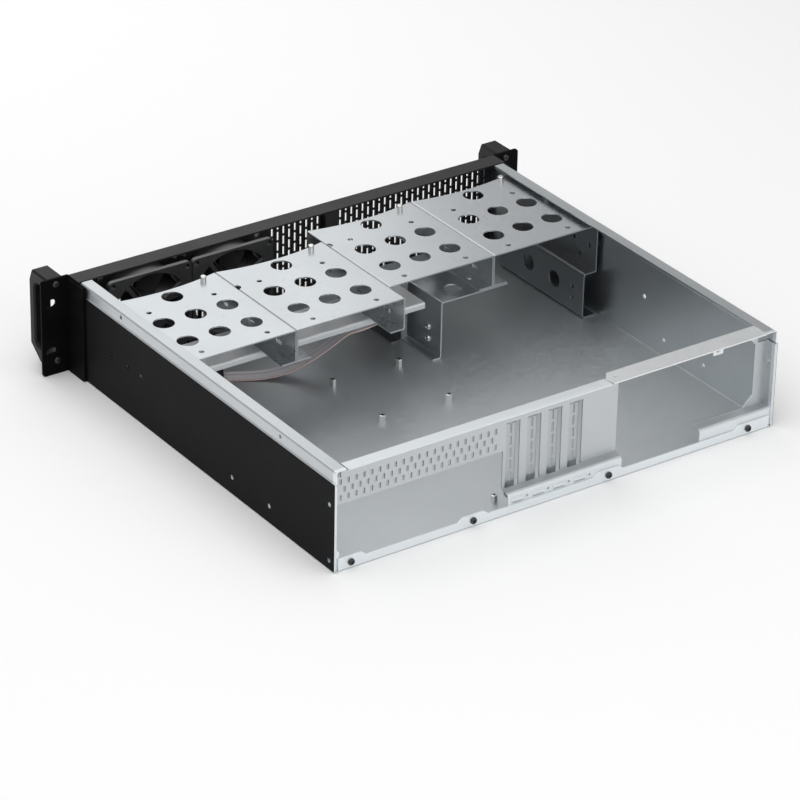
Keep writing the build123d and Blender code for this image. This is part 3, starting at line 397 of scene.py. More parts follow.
@dataclass(frozen=True)
class BareZinc:
    """Zinc-coated sheet: soft mottling, faint rolling grain, smudges and fine scratches.

    Attributes:
        name: The material's name.
        tint: Colour of the sheet.
        rough: Middle of its roughness.
        smudge: How far the clouds spread the roughness.
        grain: The rolling grain.
        relief_mm: Depth of the pattern.
        edge_mm: Radius of the softened edges.
        paint: Paint on the outside, or None.
        floor_mm: Height of the tray's floor.
        tread: How much rougher that floor is.
        highlight_above_mm: Height above which the sheet is made paler as a painted highlight, or 0 for
            nowhere.
        highlight_behind_mm: Distance to the rear beyond which it is made paler as a painted highlight, or 0
            for nowhere.
        marks: The sheet's marks.
    """

    name: str
    tint: Colour = (0.585, 0.615, 0.63)
    rough: float = 0.36
    smudge: float = 0.03
    grain: Grain = Grain.FINE_X
    relief_mm: float = 0.012
    edge_mm: float = 0.35
    paint: Optional[TrayPaint] = None
    floor_mm: float = 1.6
    tread: float = 0.0
    highlight_above_mm: float = 0.0
    highlight_behind_mm: float = 0.0
    marks: SheetMarks = SheetMarks()

    def metal(self, desk: NodeDesk) -> Tuple[Socket, Socket, Socket]:
        """Lay the bare sheet's pattern.

        Args:
            desk: The material's node desk.

        Returns:
            Colour, roughness and height sockets.
        """
        marks = self.marks
        grain = desk.noise(self.grain.value, detail=2.0)
        flakes = desk.cells(marks.flake_mm)
        cloud = desk.noise(marks.cloud_mm, detail=4.0)
        spots = desk.noise(marks.spot_mm, detail=3.0)
        scratch = desk.noise(marks.scratch_mm, detail=1.0, turn=(0, 0, marks.scratch_deg))
        colour = desk.blend(desk.span(cloud, marks.cloud_range), self.tint,
                            shade(self.tint, marks.cloud_shade))
        paler = desk.calc(Sum.MULTIPLY, flakes, marks.flake_share)
        colour = desk.blend(paler, colour, shade(self.tint, marks.flake_shade))
        rough = desk.span(cloud, NOISE_RANGE, (self.rough - self.smudge / 2, self.rough + self.smudge / 2))
        for pattern, source, result in (
                (flakes, (0.0, 1.0), (-marks.flake_rough, marks.flake_rough)),
                (spots, marks.spot_range, (0.0, marks.spot_rough)),
                (scratch, marks.scratch_range, (0.0, marks.scratch_rough))):
            rough = desk.calc(Sum.ADD, rough, desk.span(pattern, source, result))
        if self.tread:
            floor = desk.calc(Sum.BELOW, desk.split(desk.place)[Axis.Z], self.floor_mm * MM)
            rough = desk.calc(Sum.ADD, rough, desk.calc(Sum.MULTIPLY, floor, self.tread))
        # Above the given height and behind the given depth the sheet is made paler and rougher: a painted
        # highlight.
        for axis, edge_mm in ((Axis.Z, self.highlight_above_mm), (Axis.Y, self.highlight_behind_mm)):
            if edge_mm:
                highlight_mask = desk.calc(Sum.ABOVE, desk.split(desk.place)[axis], edge_mm * MM)
                colour = desk.blend(highlight_mask, colour, shade(self.tint, marks.highlight_shade))
                rough = desk.calc(Sum.ADD, rough, desk.calc(Sum.MULTIPLY, highlight_mask, marks.highlight_rough))
        height = desk.calc(Sum.ADD, desk.calc(Sum.MULTIPLY, grain, marks.grain_rise),
                           desk.calc(Sum.MULTIPLY, flakes, marks.flake_rise))
        cut = desk.span(scratch, marks.scratch_range, (0.0, marks.scratch_depth))
        return colour, rough, desk.calc(Sum.SUBTRACT, height, cut)

    def build(self) -> bpy.types.Material:
        """Make the material.

        Returns:
            The finished material.
        """
        desk = NodeDesk(self.name)
        colour, rough, height = self.metal(desk)
        if self.paint is None:
            desk.surface(Base_Color=colour, Roughness=rough, Metallic=1.0)
            desk.relief(height, self.relief_mm, self.edge_mm)
            return desk.material
        mask = self.paint.mask(desk)
        paint_colour, paint_rough, paint_height = self.paint.powder.coat(desk)
        desk.surface(Base_Color=desk.blend(mask, colour, paint_colour),
                     Roughness=desk.choose(mask, rough, paint_rough),
                     Metallic=desk.calc(Sum.SUBTRACT, 1.0, mask),
                     Specular_IOR_Level=self.paint.powder.shine)
        desk.relief(desk.choose(mask, height, paint_height), self.paint.relief_mm, self.edge_mm)
        return desk.material


@dataclass(frozen=True)
class MouldedPlastic:
    """Moulded plastic with a faint flow pattern and a fine texture.

    Where dust isn't 0, faces that look up get a painted sheen of that grey. top_sheen_range says how far up
    they look.
    """

    name: str
    tint: Colour
    rough: float
    top_sheen: float = 0.0
    top_sheen_range: Range = (0.4, 0.9)
    grain_mm: float = 0.35
    depth_mm: float = 0.01
    flow_mm: Tuple[float, float, float] = (9.0, 26.0, 9.0)
    flow_range: Range = (0.35, 0.7)
    flow_shade: float = 1.35
    flow_rough: float = 0.05
    edge_mm: float = 0.3

    def build(self) -> bpy.types.Material:
        """Make the material.

        Returns:
            The finished material.
        """
        desk = NodeDesk(self.name)
        grain = desk.noise(self.grain_mm, detail=2.0)
        flow = desk.noise(self.flow_mm, detail=3.0)
        colour = desk.blend(desk.span(flow, self.flow_range), self.tint, shade(self.tint, self.flow_shade))
        if self.top_sheen:
            # Faces that look up are lightened towards the grey: a painted sheen.
            facing = desk.tree.nodes.new("ShaderNodeNewGeometry").outputs["Normal"]
            upward = desk.span(desk.split(facing)[Axis.Z], self.top_sheen_range)
            colour = desk.blend(upward, colour, (self.top_sheen,) * 3)
        rough = desk.span(flow, NOISE_RANGE, (self.rough - self.flow_rough, self.rough + self.flow_rough))
        desk.surface(Base_Color=colour, Roughness=rough)
        desk.relief(grain, self.depth_mm, self.edge_mm)
        return desk.material


@dataclass(frozen=True)
class PlatedSteel:
    """Plated turned or pressed steel with a fine turning grain."""

    name: str
    tint: Colour = (0.80, 0.79, 0.77)
    rough: float = 0.2
    metallic: float = 1.0
    ring_mm: Tuple[float, float, float] = (1.6, 1.6, 0.18)
    ring_depth_mm: float = 0.006
    cloud_mm: float = 3.0
    cloud_range: Range = (0.4, 0.75)
    cloud_shade: float = 0.8
    cloud_rough: Range = (-0.04, 0.08)
    edge_mm: float = 0.15

    def build(self) -> bpy.types.Material:
        """Make the material.

        Returns:
            The finished material.
        """
        desk = NodeDesk(self.name)
        rings = desk.noise(self.ring_mm, detail=1.0)
        cloud = desk.noise(self.cloud_mm, detail=2.0)
        colour = desk.blend(desk.span(cloud, self.cloud_range), self.tint, shade(self.tint, self.cloud_shade))
        low, high = self.cloud_rough
        rough = desk.span(cloud, NOISE_RANGE, (self.rough + low, self.rough + high))
        desk.surface(Base_Color=colour, Roughness=rough, Metallic=self.metallic)
        desk.relief(rings, self.ring_depth_mm, self.edge_mm)
        return desk.material


@dataclass(frozen=True)
class FrostedLens:
    """Milky lamp lens. clear is the share of the light that passes through."""

    name: str
    tint: Colour = (0.80, 0.84, 0.82)
    haze_tint: Colour = (0.9, 0.93, 0.92)
    haze_mm: float = 0.9
    rough: Range = (0.22, 0.34)
    haze_depth_mm: float = 0.01
    clear: float = 0.35
    edge_mm: float = 0.2

    def build(self) -> bpy.types.Material:
        """Make the material.

        Returns:
            The finished material.
        """
        desk = NodeDesk(self.name)
        haze = desk.noise(self.haze_mm, detail=2.0)
        desk.surface(Base_Color=desk.blend(haze, self.tint, self.haze_tint),
                     Roughness=desk.span(haze, NOISE_RANGE, self.rough),
                     Transmission_Weight=self.clear)
        desk.relief(haze, self.haze_depth_mm, self.edge_mm)
        return desk.material


@dataclass(frozen=True)
class CableVinyl:
    """Ribbed grey vinyl with a blue line on one conductor and a red conductor at its edge.

    It reads the strip's own map. Every other conductor has the blush, and worn patches have the grime.
    """

    name: str
    tint: Colour = (0.92, 0.91, 0.92)
    blush: Colour = (0.84, 0.76, 0.79)
    line: Colour = (0.36, 0.42, 0.70)
    line_on: float = 6.0
    line_half: float = 0.30
    line_share: float = 0.8
    edge: Colour = (0.84, 0.64, 0.62)
    grime: Colour = (0.36, 0.35, 0.35)
    wear_mm: float = 2.2
    wear_range: Range = (0.5, 0.9)
    wear_share: float = 0.35
    rough: Range = (0.36, 0.5)
    wear_depth_mm: float = 0.01

    def build(self) -> bpy.types.Material:
        """Make the material.

        Returns:
            The finished material.
        """
        desk = NodeDesk(self.name)
        strip = desk.tree.nodes.new("ShaderNodeUVMap")
        strip.uv_map = STRIP_MAP
        across = desk.split(strip.outputs[0])[Axis.X]
        step = desk.calc(Sum.MULTIPLY, across, float(CONDUCTORS))
        number = desk.calc(Sum.FLOOR, step)
        odd = desk.calc(Sum.ABOVE, desk.calc(Sum.REMAINDER, number, 2.0), 0.5)
        colour = desk.blend(odd, self.tint, self.blush)
        off_middle = desk.calc(Sum.SIZE, desk.calc(Sum.SUBTRACT, desk.calc(Sum.FRACTION, step), 0.5))
        middle = desk.calc(Sum.BELOW, off_middle, self.line_half)
        off_lined = desk.calc(Sum.SIZE, desk.calc(Sum.SUBTRACT, number, self.line_on))
        lined = desk.calc(Sum.MULTIPLY, desk.calc(Sum.BELOW, off_lined, 0.5), middle)
        colour = desk.blend(desk.calc(Sum.MULTIPLY, lined, self.line_share), colour, self.line)
        colour = desk.blend(desk.calc(Sum.BELOW, across, 1.0 / CONDUCTORS), colour, self.edge)
        wear = desk.noise(self.wear_mm, detail=3.0)
        colour = desk.blend(desk.span(wear, self.wear_range, (0.0, self.wear_share)), colour, self.grime)
        desk.surface(Base_Color=colour, Roughness=desk.span(wear, NOISE_RANGE, self.rough))
        desk.relief(wear, self.wear_depth_mm)
        return desk.material


class Workshop:
    """Shared helpers that turn bmesh work into pieces of the case."""

    @staticmethod
    def piece(name: str, shape: bmesh.types.BMesh, material: bpy.types.Material,
              sharp_deg: float = 35.0) -> bpy.types.Object:
        """Finish a bmesh as a piece that rides on the case.

        Args:
            name: The piece's name.
            shape: The bmesh, in metres in the case's frame. It is freed.
            material: Its material.
            sharp_deg: Edges that turn by more than this stay sharp.

        Returns:
            The new object.
        """
        mesh = bpy.data.meshes.new(name)
        shape.to_mesh(mesh)
        shape.free()
        mesh.shade_smooth()
        mesh.set_sharp_from_angle(angle=math.radians(sharp_deg))
        mesh.materials.append(material)
        piece = bpy.data.objects.new(name, mesh)
        bpy.context.scene.collection.objects.link(piece)
        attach(piece, CASE_BODY)
        LOG.info("%s: %d faces", name, len(mesh.polygons))
        return piece

    @staticmethod
    def dress(names: Sequence[str], material: bpy.types.Material) -> None:
        """Give CAD nodes their finish.

        Args:
            names: The nodes.
            material: Their material.
        """
        for name in names:
            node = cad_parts[name]
            if not node.material_slots:
                node.data.materials.append(material)
            for slot in node.material_slots:
                slot.link = "OBJECT"
                slot.material = material
            LOG.info("%s: %s", name, material.name)

    @staticmethod
    def solids(name: str) -> List[Tuple[Vector, Vector]]:
        """Find the boxes of a node's separate solids.

        Args:
            name: The node.

        Returns:
            Lowest and highest corner of each solid, in the case's frame.
        """
        shape = bmesh.new()
        shape.from_mesh(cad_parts[name].data)
        bmesh.ops.remove_doubles(shape, verts=shape.verts, dist=HAIR)
        left = set(shape.verts)
        boxes = []
        while left:
            group = [left.pop()]
            for vert in group:
                for edge in vert.link_edges:
                    other = edge.other_vert(vert)
                    if other in left:
                        left.remove(other)
                        group.append(other)
            low = Vector([min(v.co[i] for v in group) for i in range(3)])
            high = Vector([max(v.co[i] for v in group) for i in range(3)])
            boxes.append((low, high))
        shape.free()
        return sorted(boxes, key=lambda b: tuple(round(c, PLACE_DIGITS) for c in b[0]))


@dataclass
class PanScrew:
    """Pan-head screw with a cross recess, at real size.

    crown is the head's outline from the top down, in shares of its radius and height. tip_rise and
    tip_radius are the shank's tapered end, in shares of its radius. taper is the size of the cross's bottom,
    as a share of its top.
    """

    head_radius: float = 2.9 * MM
    head_rise: float = 1.8 * MM
    shank_radius: float = 1.45 * MM
    recess_half: float = 1.55 * MM
    recess_width: float = 0.85 * MM
    recess_depth: float = 1.1 * MM
    taper: float = 0.72
    crown: Tuple[Tuple[float, float], ...] = ((0.72, 0.04), (0.90, 0.22), (1.0, 0.55), (1.0, 1.0))
    tip_rise: float = 0.25
    tip_radius: float = 0.75

    def top(self, shape: bmesh.types.BMesh) -> None:
        """Make the flat top with its sunk cross.

        Args:
            shape: The bmesh to build in.
        """
        half = self.recess_width / 2
        # The grid's lines stand at a third and at the whole of its size, so half tells them apart.
        bmesh.ops.create_grid(shape, x_segments=3, y_segments=3, size=1.0)
        for vert in shape.verts:
            vert.co = Vector([math.copysign(self.recess_half if abs(c) > 0.5 else half, c)
                              for c in vert.co[:2]] + [0.0])
        cross = [f for f in shape.faces
                 if min(abs(f.calc_center_median().x), abs(f.calc_center_median().y)) < half]
        made = bmesh.ops.extrude_face_region(shape, geom=cross)["geom"]
        bmesh.ops.delete(shape, geom=[f for f in cross if f.is_valid], context="FACES_ONLY")
        for vert in [g for g in made if isinstance(g, bmesh.types.BMVert)]:
            vert.co = Vector((vert.co.x * self.taper, vert.co.y * self.taper, -self.recess_depth))

    def shell(self, shape: bmesh.types.BMesh, shank: float) -> None:
        """Carry the top's edge out over the head and down the shank.

        Args:
            shape: The bmesh that holds the top.
            shank: Length of the shank below the head.
        """
        rim = [e for e in shape.edges if e.is_boundary and abs(e.verts[0].co.z) < HAIR
               and max(abs(c) for c in (e.verts[0].co + e.verts[1].co) / 2) > self.recess_half - HAIR]
        bmesh.ops.subdivide_edges(shape, edges=rim, cuts=1)
        loop = [e for e in shape.edges if e.is_boundary]
        rise, thin = self.head_rise, self.shank_radius
        rings = [(across * self.head_radius, -down * rise) for across, down in self.crown]
        rings += [(thin, -rise), (thin, -rise - shank + self.tip_rise * thin),
                  (self.tip_radius * thin, -rise - shank)]
        for ring_radius, height in rings:
            made = bmesh.ops.extrude_edge_only(shape, edges=loop)["geom"]
            for vert in [g for g in made if isinstance(g, bmesh.types.BMVert)]:
                flat = Vector((vert.co.x, vert.co.y, 0)).normalized() * ring_radius
                vert.co = Vector((flat.x, flat.y, height))
            loop = [g for g in made if isinstance(g, bmesh.types.BMEdge)]
        bmesh.ops.edgeloop_fill(shape, edges=loop)

    def add(self, target: bmesh.types.BMesh, seat: Vector, out: Vector, shank: float,
            turn_deg: float) -> None:
        """Add one screw to a group.

        Args:
            target: The group's bmesh.
            seat: Middle of the head's top face.
            out: Direction the head faces.
            shank: Length of the shank below the head.
            turn_deg: How far the cross is turned.
        """
        shape = bmesh.new()
        self.top(shape)
        self.shell(shape, shank)
        bmesh.ops.recalc_face_normals(shape, faces=shape.faces)
        place = Matrix.Translation(seat) @ out.to_track_quat("Z", "Y").to_matrix().to_4x4()
        place = place @ Matrix.Rotation(math.radians(turn_deg), 4, "Z")
        bmesh.ops.transform(shape, matrix=place, verts=shape.verts)
        carrier = bpy.data.meshes.new("screw_carrier")
        shape.to_mesh(carrier)
        shape.free()
        target.from_mesh(carrier)
        bpy.data.meshes.remove(carrier)


@dataclass
class Fasteners:
    """All the screws, each group set where the CAD's plain ones are."""

    screw: PanScrew = field(default_factory=PanScrew)
    turn_step_deg: float = 37.0
    sharp_deg: float = 40.0

    def group(self, node: str, out: Vector, material: bpy.types.Material, slot: str) -> None:
        """Replace one node of plain screws.

        Args:
            node: The CAD node.
            out: Direction the heads face.
            material: The screws' finish.
            slot: Not used.
        """
        shape = bmesh.new()
        axis = max(range(3), key=lambda i: abs(out[i]))
        for number, (low, high) in enumerate(Workshop.solids(node)):
            seat = (low + high) / 2
            seat[axis] = high[axis]
            shank = high[axis] - low[axis] - self.screw.head_rise
            self.screw.add(shape, seat, out, shank, number * self.turn_step_deg)
        piece = Workshop.piece(f"{node}_cross", shape, material, self.sharp_deg)
        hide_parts(node)

    def build(self, bright: bpy.types.Material, dark: bpy.types.Material) -> None:
        """Make every group.

        Args:
            bright: Plated finish.
            dark: Blackened finish.
        """
        rear = Vector((0, 1, 0))
        self.group("fan_screws", rear, bright, "bright_steel")
        self.group("handle_screws", rear, dark, "dark_screw")
        self.group("rear_screws", rear, dark, "dark_screw")
        self.group("centre_screws", Vector((1, 0, 0)), bright, "bright_steel")


@dataclass
class PlugHousing:
    """Socket housing with sunk broad faces and a row of contact pits.

    Edges that turn by more than sharp, in radians, are bevelled. facing is the least part of a normal that
    lies along an axis where the face looks along it.
    """

    dish_rim: float = 1.1 * MM
    dish_depth: float = 0.5 * MM
    mouth_rim: float = 0.8 * MM
    pit_cuts: int = 4
    pit_rim: float = 0.35 * MM
    pit_depth: float = 0.9 * MM
    bevel: float = 0.12 * MM
    sharp: float = 1.2
    facing: float = 0.9

    def looking(self, shape: bmesh.types.BMesh, axis: Axis) -> List[bmesh.types.BMFace]:
        """Find the faces that look either way along an axis."""
        return [f for f in shape.faces if abs(f.normal[axis]) > self.facing]

    def build(self, low: Vector, high: Vector, axis: Axis) -> bmesh.types.BMesh:
        """Make the housing in a box.

        Args:
            low: The box's lowest corner.
            high: The box's highest corner.
            axis: Axis along which the cable enters.

        Returns:
            The housing.
        """
        shape = bmesh.new()
        bmesh.ops.create_cube(shape, size=1.0)
        bmesh.ops.scale(shape, vec=high - low, verts=shape.verts)
        bmesh.ops.translate(shape, vec=(high + low) / 2, verts=shape.verts)
        ends = self.looking(shape, axis)
        bmesh.ops.inset_region(shape, faces=self.looking(shape, Axis.Z), thickness=self.dish_rim,
                               depth=-self.dish_depth)
        rims = bmesh.ops.inset_region(shape, faces=ends, thickness=self.mouth_rim, depth=0.0)["faces"]
        inner = [f for f in ends if f.is_valid]
        level = dict.fromkeys(e for f in inner for e in f.edges
                              if abs((e.verts[0].co - e.verts[1].co).z) < HAIR)
        bmesh.ops.subdivide_edges(shape, edges=list(level), cuts=self.pit_cuts, use_grid_fill=True)
        pits = [f for f in self.looking(shape, axis)
                if abs(f.calc_center_median()[axis] - high[axis]) < HAIR
                and f not in rims and len(f.verts) == 4]
        bmesh.ops.inset_individual(shape, faces=pits, thickness=self.pit_rim, depth=-self.pit_depth)
        edges = [e for e in shape.edges if e.is_manifold and e.calc_face_angle() > self.sharp]
        bmesh.ops.bevel(shape, geom=edges, offset=self.bevel, offset_type="OFFSET", segments=1,
                        profile=0.5, affect="EDGES", clamp_overlap=True, material=-1)
        bmesh.ops.recalc_face_normals(shape, faces=shape.faces)
        return shape


@dataclass
class FlatCable:
    """Flat cable from the control unit back under the rail and down to its loose plug.

    The route's lengths, from lead_x on, are in millimetres. lead_yz holds Y and Z along the run from the
    control unit. drop holds the distance and Z along the drop, which starts at turn_x and heads for
    turn_deg. loose_box holds the corners of the loose plug in the drop's own frame.
    """

    width: float = 16.0 * MM
    thickness: float = 1.2 * MM
    rib_steps: int = 4
    groove_share: float = 0.55
    rib_share: float = 0.45
    line_steps: int = 8
    sharp_deg: float = 60.0
    lead_x: float = -33.0
    fold_y: float = -47.0
    fold_run: float = 28.0
    under_rail: float = 46.8
    turn_x: float = 27.0
    turn_deg: float = -30.0
    lead_yz: Tuple[Tuple[float, float], ...] = (
        (-168.4, 56.1), (-152.4, 53.6), (-134.4, 48.6), (-112.4, 47.2))
    drop: Tuple[Tuple[float, float], ...] = (
        (-8.0, 46.4), (2.0, 43.0), (13.0, 33.0), (27.0, 21.8), (41.0, 12.6), (55.0, 6.2),
        (70.0, 2.8), (86.0, 2.1), (104.0, 1.9))
    loose_box: Tuple[Tuple[float, float, float], ...] = ((104.0, -9.5, 1.3), (112.0, 9.5, 7.3))
    housing: PlugHousing = field(default_factory=PlugHousing)

    def points(self) -> List[Vector]:
        """List the route's control points.

        Returns:
            Points in metres in the case's frame.
        """
        route = [Vector((self.lead_x, y, z)) for y, z in self.lead_yz]
        route.append(Vector((self.lead_x, self.fold_y - self.fold_run, self.under_rail)))
        route.append(Vector((self.lead_x, self.fold_y, self.under_rail)))
        route.append(Vector((self.lead_x + self.fold_run, self.fold_y, self.under_rail)))
        along = Vector((math.cos(math.radians(self.turn_deg)), math.sin(math.radians(self.turn_deg)), 0))
        turn = Vector((self.turn_x, self.fold_y, 0))
        route += [turn + along * run + Vector((0, 0, z)) for run, z in self.drop]
        return [point * MM for point in route]

    def line(self) -> List[Vector]:
        """Read the smooth line that the route's spline gives.

        Returns:
            Points along the cable's middle.
        """
        curve = bpy.data.curves.new("cable_route", "CURVE")
        curve.dimensions = "3D"
        curve.resolution_u = self.line_steps
        spline = curve.splines.new("NURBS")
        points = self.points()
        spline.points.add(len(points) - 1)
        for point, place in zip(spline.points, points):
            point.co = (*place, 1.0)
        spline.order_u = 3
        spline.use_endpoint_u = True
        holder = bpy.data.objects.new("cable_route", curve)
        mesh = bpy.data.meshes.new_from_object(holder)
        line = [v.co.copy() for v in mesh.vertices]
        bpy.data.meshes.remove(mesh)
        bpy.data.objects.remove(holder)
        bpy.data.curves.remove(curve)
        return line

    def section(self) -> List[Tuple[float, float]]:
        """Outline of the ribbed strip, once round.

        Returns:
            Points across and up, in metres.
        """
        steps = CONDUCTORS * self.rib_steps
        upper = []
        for i in range(steps + 1):
            share = i / steps
            phase = (i % self.rib_steps) / self.rib_steps
            height = self.thickness / 2 * (self.groove_share + self.rib_share * math.sin(math.pi * phase))
            upper.append(((share - 0.5) * self.width, height))
        return upper + [(x, -z) for x, z in reversed(upper)]

    def strip(self, line: Sequence[Vector]) -> bmesh.types.BMesh:
        """Draw the section along the line.

        Args:
            line: Points along the cable's middle.

        Returns:
            The strip, closed at both ends.
        """
        shape = bmesh.new()
        layer = shape.loops.layers.uv.new(STRIP_MAP)
        section = self.section()
        rings = []
        for i, point in enumerate(line):
            ahead = line[min(i + 1, len(line) - 1)] - line[max(i - 1, 0)]
            across = Vector((ahead.y, -ahead.x, 0)).normalized()
            up = across.cross(ahead.normalized())
            rings.append([shape.verts.new(point + across * a + up * b) for a, b in section])
        for first, second in zip(rings, rings[1:]):
            for j in range(len(section)):
                k = (j + 1) % len(section)
                face = shape.faces.new((first[j], first[k], second[k], second[j]))
                for loop, at in zip(face.loops, (j, k, k, j)):
                    loop[layer].uv = (section[at][0] / self.width + 0.5, 0.5)
        for ring in (rings[0], rings[-1]):
            shape.faces.new(ring)
        bmesh.ops.recalc_face_normals(shape, faces=shape.faces)
        return shape

    def plug(self, node: str, axis: Axis, material: bpy.types.Material,
             loose: bool = False) -> bpy.types.Object:
        """Make the housing of a plug.

        Args:
            node: The CAD plug that it replaces.
            axis: Axis along which the cable enters.
            material: Its finish.
            loose: Whether it is the loose plug, which is turned with the cable's drop.

        Returns:
            The new piece.
        """
        low, high = (Vector(c) * MM for c in self.loose_box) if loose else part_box(node)
        shape = self.housing.build(low, high, axis)
        if loose:
            place = Matrix.Translation(Vector((self.turn_x, self.fold_y, 0)) * MM)
            place = place @ Matrix.Rotation(math.radians(self.turn_deg), 4, "Z")
            bmesh.ops.transform(shape, matrix=place, verts=shape.verts)
        piece = Workshop.piece(f"{node}_housing", shape, material)
        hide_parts(node)
        return piece

    def build(self, vinyl: bpy.types.Material, plastic: bpy.types.Material) -> None:
        """Make the cable and its two plugs.

        Args:
            vinyl: The cable's finish.
            plastic: The plugs' finish.
        """
        line = self.line()
        cable = Workshop.piece("flat_cable", self.strip(line), vinyl, self.sharp_deg)
        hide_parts("ribbon_cable_front", "ribbon_cable_rear")
        plugs = [self.plug("ribbon_plug_front", Axis.Y, plastic),
                 self.plug("ribbon_plug_rear", Axis.X, plastic, loose=True)]


class CaseDresser:
    """Gives the CAD nodes of the case their finishes."""

    def __init__(self) -> None:
        """Make the materials."""
        tray_powder = BlackPowder("tray_powder", tint=(0.006, 0.006, 0.007), shine=0.05)
        # The tray is made paler towards its rear lip: a painted highlight.
        self.tray = BareZinc("tray_sheet", rough=0.34, paint=TrayPaint(tray_powder), tread=0.16,
                             highlight_behind_mm=207.0).build()
        # A paler copy of the zinc than real sheet has: painted highlight for the rail's brightly lit lip.
        self.rail = BareZinc("rail_zinc", tint=(0.86, 0.87, 0.88), rough=0.52).build()
        # A darker copy of the zinc: painted shade for the supports and post, which stand in the brackets'
        # shadow.
        self.deep = BareZinc("painted_shade_zinc", tint=(0.32, 0.335, 0.35), smudge=0.01, grain=Grain.FINE_Y,
                             relief_mm=0.004).build()
        self.plate = BareZinc("plate_zinc", tint=(0.62, 0.65, 0.67), rough=0.30,
                              grain=Grain.FINE_Y).build()
        # The rear panel is made paler along its top edge and its rear strip: a painted highlight.
        self.rear = BareZinc("rear_zinc", tint=(0.56, 0.585, 0.60), rough=0.38, grain=Grain.FINE_Z,
                             highlight_above_mm=87.2, highlight_behind_mm=207.0).build()
        # A darker copy of the zinc: painted shade for the covers, which sit recessed behind the rear panel.
        self.cover = BareZinc("cover_zinc", tint=(0.50, 0.525, 0.54), grain=Grain.FINE_Z).build()
        # A paler copy of the zinc than real sheet has: painted highlight for the brightly lit top flange.
        self.lid = BareZinc("top_rail_zinc", tint=(0.82, 0.84, 0.85), rough=0.44).build()
        self.panel = BlackPowder("black_powder").build()
        self.ear = BlackPowder("ear_powder", tint=(0.004, 0.004, 0.004), shine=0.03).build()
        self.handle = BlackPowder("handle_satin", tint=(0.012, 0.012, 0.013), rough=0.38, shine=0.15,
                                  grain_mm=0.45, depth_mm=0.015).build()
        # The fan frames' upward faces get a painted sheen.
        self.fan = MouldedPlastic("fan_frame_black", tint=(0.018, 0.018, 0.019), rough=0.5,
                                  top_sheen=0.13).build()
        self.rotor = MouldedPlastic("rotor_black", tint=(0.024, 0.024, 0.026), rough=0.3).build()
        self.module = MouldedPlastic("module_black", tint=(0.018, 0.018, 0.018), rough=0.5).build()
        self.button = MouldedPlastic("button_black", tint=(0.03, 0.03, 0.032), rough=0.26).build()
        self.bright = PlatedSteel("nickel_plate").build()
        self.dark = PlatedSteel("black_oxide", tint=(0.06, 0.06, 0.062), rough=0.34, metallic=0.6).build()
        self.lens = FrostedLens("frosted_lens").build()
        self.vinyl = CableVinyl("grey_vinyl").build()

    def build(self) -> None:
        """Dress every node that no new piece replaces."""
        Workshop.dress(["chassis_tray"], self.tray)
        Workshop.dress([f"drive_bracket_{i}" for i in range(1, 5)], self.plate)
        Workshop.dress(["cross_rail"], self.rail)
        Workshop.dress(["centre_support"], self.plate)
        Workshop.dress(["rail_post", "wall_support_left", "wall_support_right"], self.deep)
        Workshop.dress(["rear_panel"], self.rear)
        Workshop.dress(["rear_top_rail"], self.lid)
        Workshop.dress([f"slot_cover_{i}" for i in range(1, 5)], self.cover)
        Workshop.dress(["front_panel"], self.panel)
        Workshop.dress(["rack_ear_left", "rack_ear_right"], self.ear)
        Workshop.dress(["handle_left", "handle_right"], self.handle)
        Workshop.dress(["fan_frame_1", "fan_frame_2"], self.fan)
        Workshop.dress(["fan_rotor_1", "fan_rotor_2"], self.rotor)
        Workshop.dress(["control_module"], self.module)
        Workshop.dress(["power_button", "reset_button"], self.button)
        Workshop.dress(["cover_rest_studs", "mainboard_standoffs", "bracket_rivets"], self.bright)
        Workshop.dress(["lamp_lenses"], self.lens)


@dataclass(frozen=True)
class Softbox:
    """One soft rectangular lamp that faces a point. Its power is in watts."""

    name: str
    place: Tuple[float, float, float]
    width: float
    height: float
    power: float
    aim: Tuple[float, float, float] = (0.0, 0.0, 0.04)

    def build(self) -> None:
        """Set the lamp up."""
        lamp = bpy.data.lights.new(self.name, "AREA")
        lamp.shape = "RECTANGLE"
        lamp.size = self.width
        lamp.size_y = self.height
        lamp.energy = self.power
        holder = bpy.data.objects.new(self.name, lamp)
        holder.location = self.place
        toward = Vector(self.aim) - Vector(self.place)
        holder.rotation_mode = "QUATERNION"
        holder.rotation_quaternion = toward.to_track_quat("-Z", "Y")
        bpy.context.scene.collection.objects.link(holder)


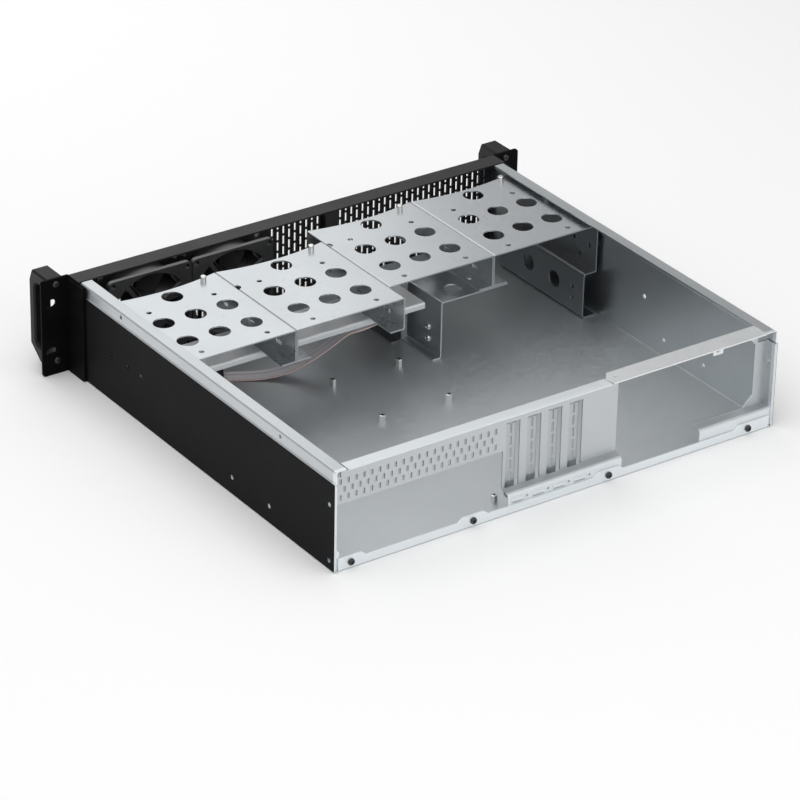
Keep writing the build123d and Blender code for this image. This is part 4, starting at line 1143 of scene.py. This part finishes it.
@dataclass
class Studio:
    """Pale floor, soft lamps and the camera at the photograph's angle.

    The target is a point in the middle of the case, and aim_px is where it falls in the frame.
    """

    azimuth_deg: float = 144.49
    elevation_deg: float = 27.9
    roll_deg: float = 1.34
    distance: float = 3.32
    focal_px: float = 4058.0
    frame_px: float = 800.0
    sensor_mm: float = 36.0
    reach: float = 100.0
    target: Tuple[float, float, float] = (0.0, 0.014, 0.040)
    aim_px: Tuple[float, float] = (418.4, 354.2)
    floor_tint: Colour = (0.97, 0.97, 0.97)
    floor_half: float = 14.0
    floor_rough: float = 0.9
    floor_shine: float = 0.1
    sky: Colour = (1.0, 1.0, 1.0)
    sky_strength: float = 0.46
    view: str = "Standard"
    boxes: Tuple[Softbox, ...] = (
        Softbox("key_box", place=(0.50, 0.15, 2.1), width=3.4, height=3.4, power=37.0),
        Softbox("front_box", place=(-0.22, -1.2, 0.85), width=1.2, height=1.0, power=2.8),
        Softbox("rear_box", place=(-0.2, 2.2, 0.95), width=2.6, height=1.6, power=11.0))

    def camera(self) -> None:
        """Place the camera so that the target falls on its place in the frame."""
        azimuth, elevation, roll = (math.radians(a) for a in
                                    (self.azimuth_deg, self.elevation_deg, self.roll_deg))
        back = Vector((math.sin(azimuth) * math.cos(elevation), -math.cos(azimuth) * math.cos(elevation),
                       math.sin(elevation)))
        right = (-back).cross(Vector((0, 0, 1))).normalized()
        up = right.cross(-back)
        right, up = (right * math.cos(roll) + up * math.sin(roll),
                     up * math.cos(roll) - right * math.sin(roll))
        across = (self.aim_px[0] - self.frame_px / 2) / self.focal_px * self.distance
        down = (self.aim_px[1] - self.frame_px / 2) / self.focal_px * self.distance
        place = Vector(self.target) + back * self.distance
        aim = Vector(self.target) - right * across + up * down
        look = (aim - place).normalized()
        right = (right - look * right.dot(look)).normalized()
        up = right.cross(look)
        turn = Matrix((right, up, -look)).transposed()
        data = bpy.data.cameras.new("camera")
        data.sensor_width = self.sensor_mm
        data.lens = self.focal_px / self.frame_px * self.sensor_mm
        data.clip_end = self.reach
        camera = bpy.data.objects.new("camera", data)
        camera.matrix_world = Matrix.Translation(place) @ turn.to_4x4()
        bpy.context.scene.collection.objects.link(camera)
        bpy.context.scene.camera = camera

    def floor(self) -> None:
        """Lay the pale floor."""
        shape = bmesh.new()
        bmesh.ops.create_grid(shape, x_segments=1, y_segments=1, size=self.floor_half)
        mesh = bpy.data.meshes.new("studio_floor")
        shape.to_mesh(mesh)
        shape.free()
        desk = NodeDesk("studio_paper")
        desk.surface(Base_Color=self.floor_tint, Roughness=self.floor_rough,
                     Specular_IOR_Level=self.floor_shine)
        mesh.materials.append(desk.material)
        floor = bpy.data.objects.new("studio_floor", mesh)
        bpy.context.scene.collection.objects.link(floor)

    def lamps(self) -> None:
        """Hang the soft lamps and set the sky."""
        world = bpy.data.worlds.new("studio_sky")
        world.use_nodes = True
        sky = world.node_tree.nodes["Background"]
        sky.inputs["Color"].default_value = (*self.sky, 1.0)
        sky.inputs["Strength"].default_value = self.sky_strength
        bpy.context.scene.world = world
        bpy.context.scene.view_settings.view_transform = self.view
        for box in self.boxes:
            box.build()

    def build(self) -> None:
        """Set up the whole studio."""
        self.camera()
        self.floor()
        self.lamps()


def main() -> None:
    """Dress the case and set up the studio."""
    logging.basicConfig(level=logging.INFO)
    Studio().build()
    dresser = CaseDresser()
    dresser.build()
    FlatCable().build(dresser.vinyl, dresser.module)
    Fasteners().build(dresser.bright, dresser.dark)


if __name__ == "__main__":
    main()
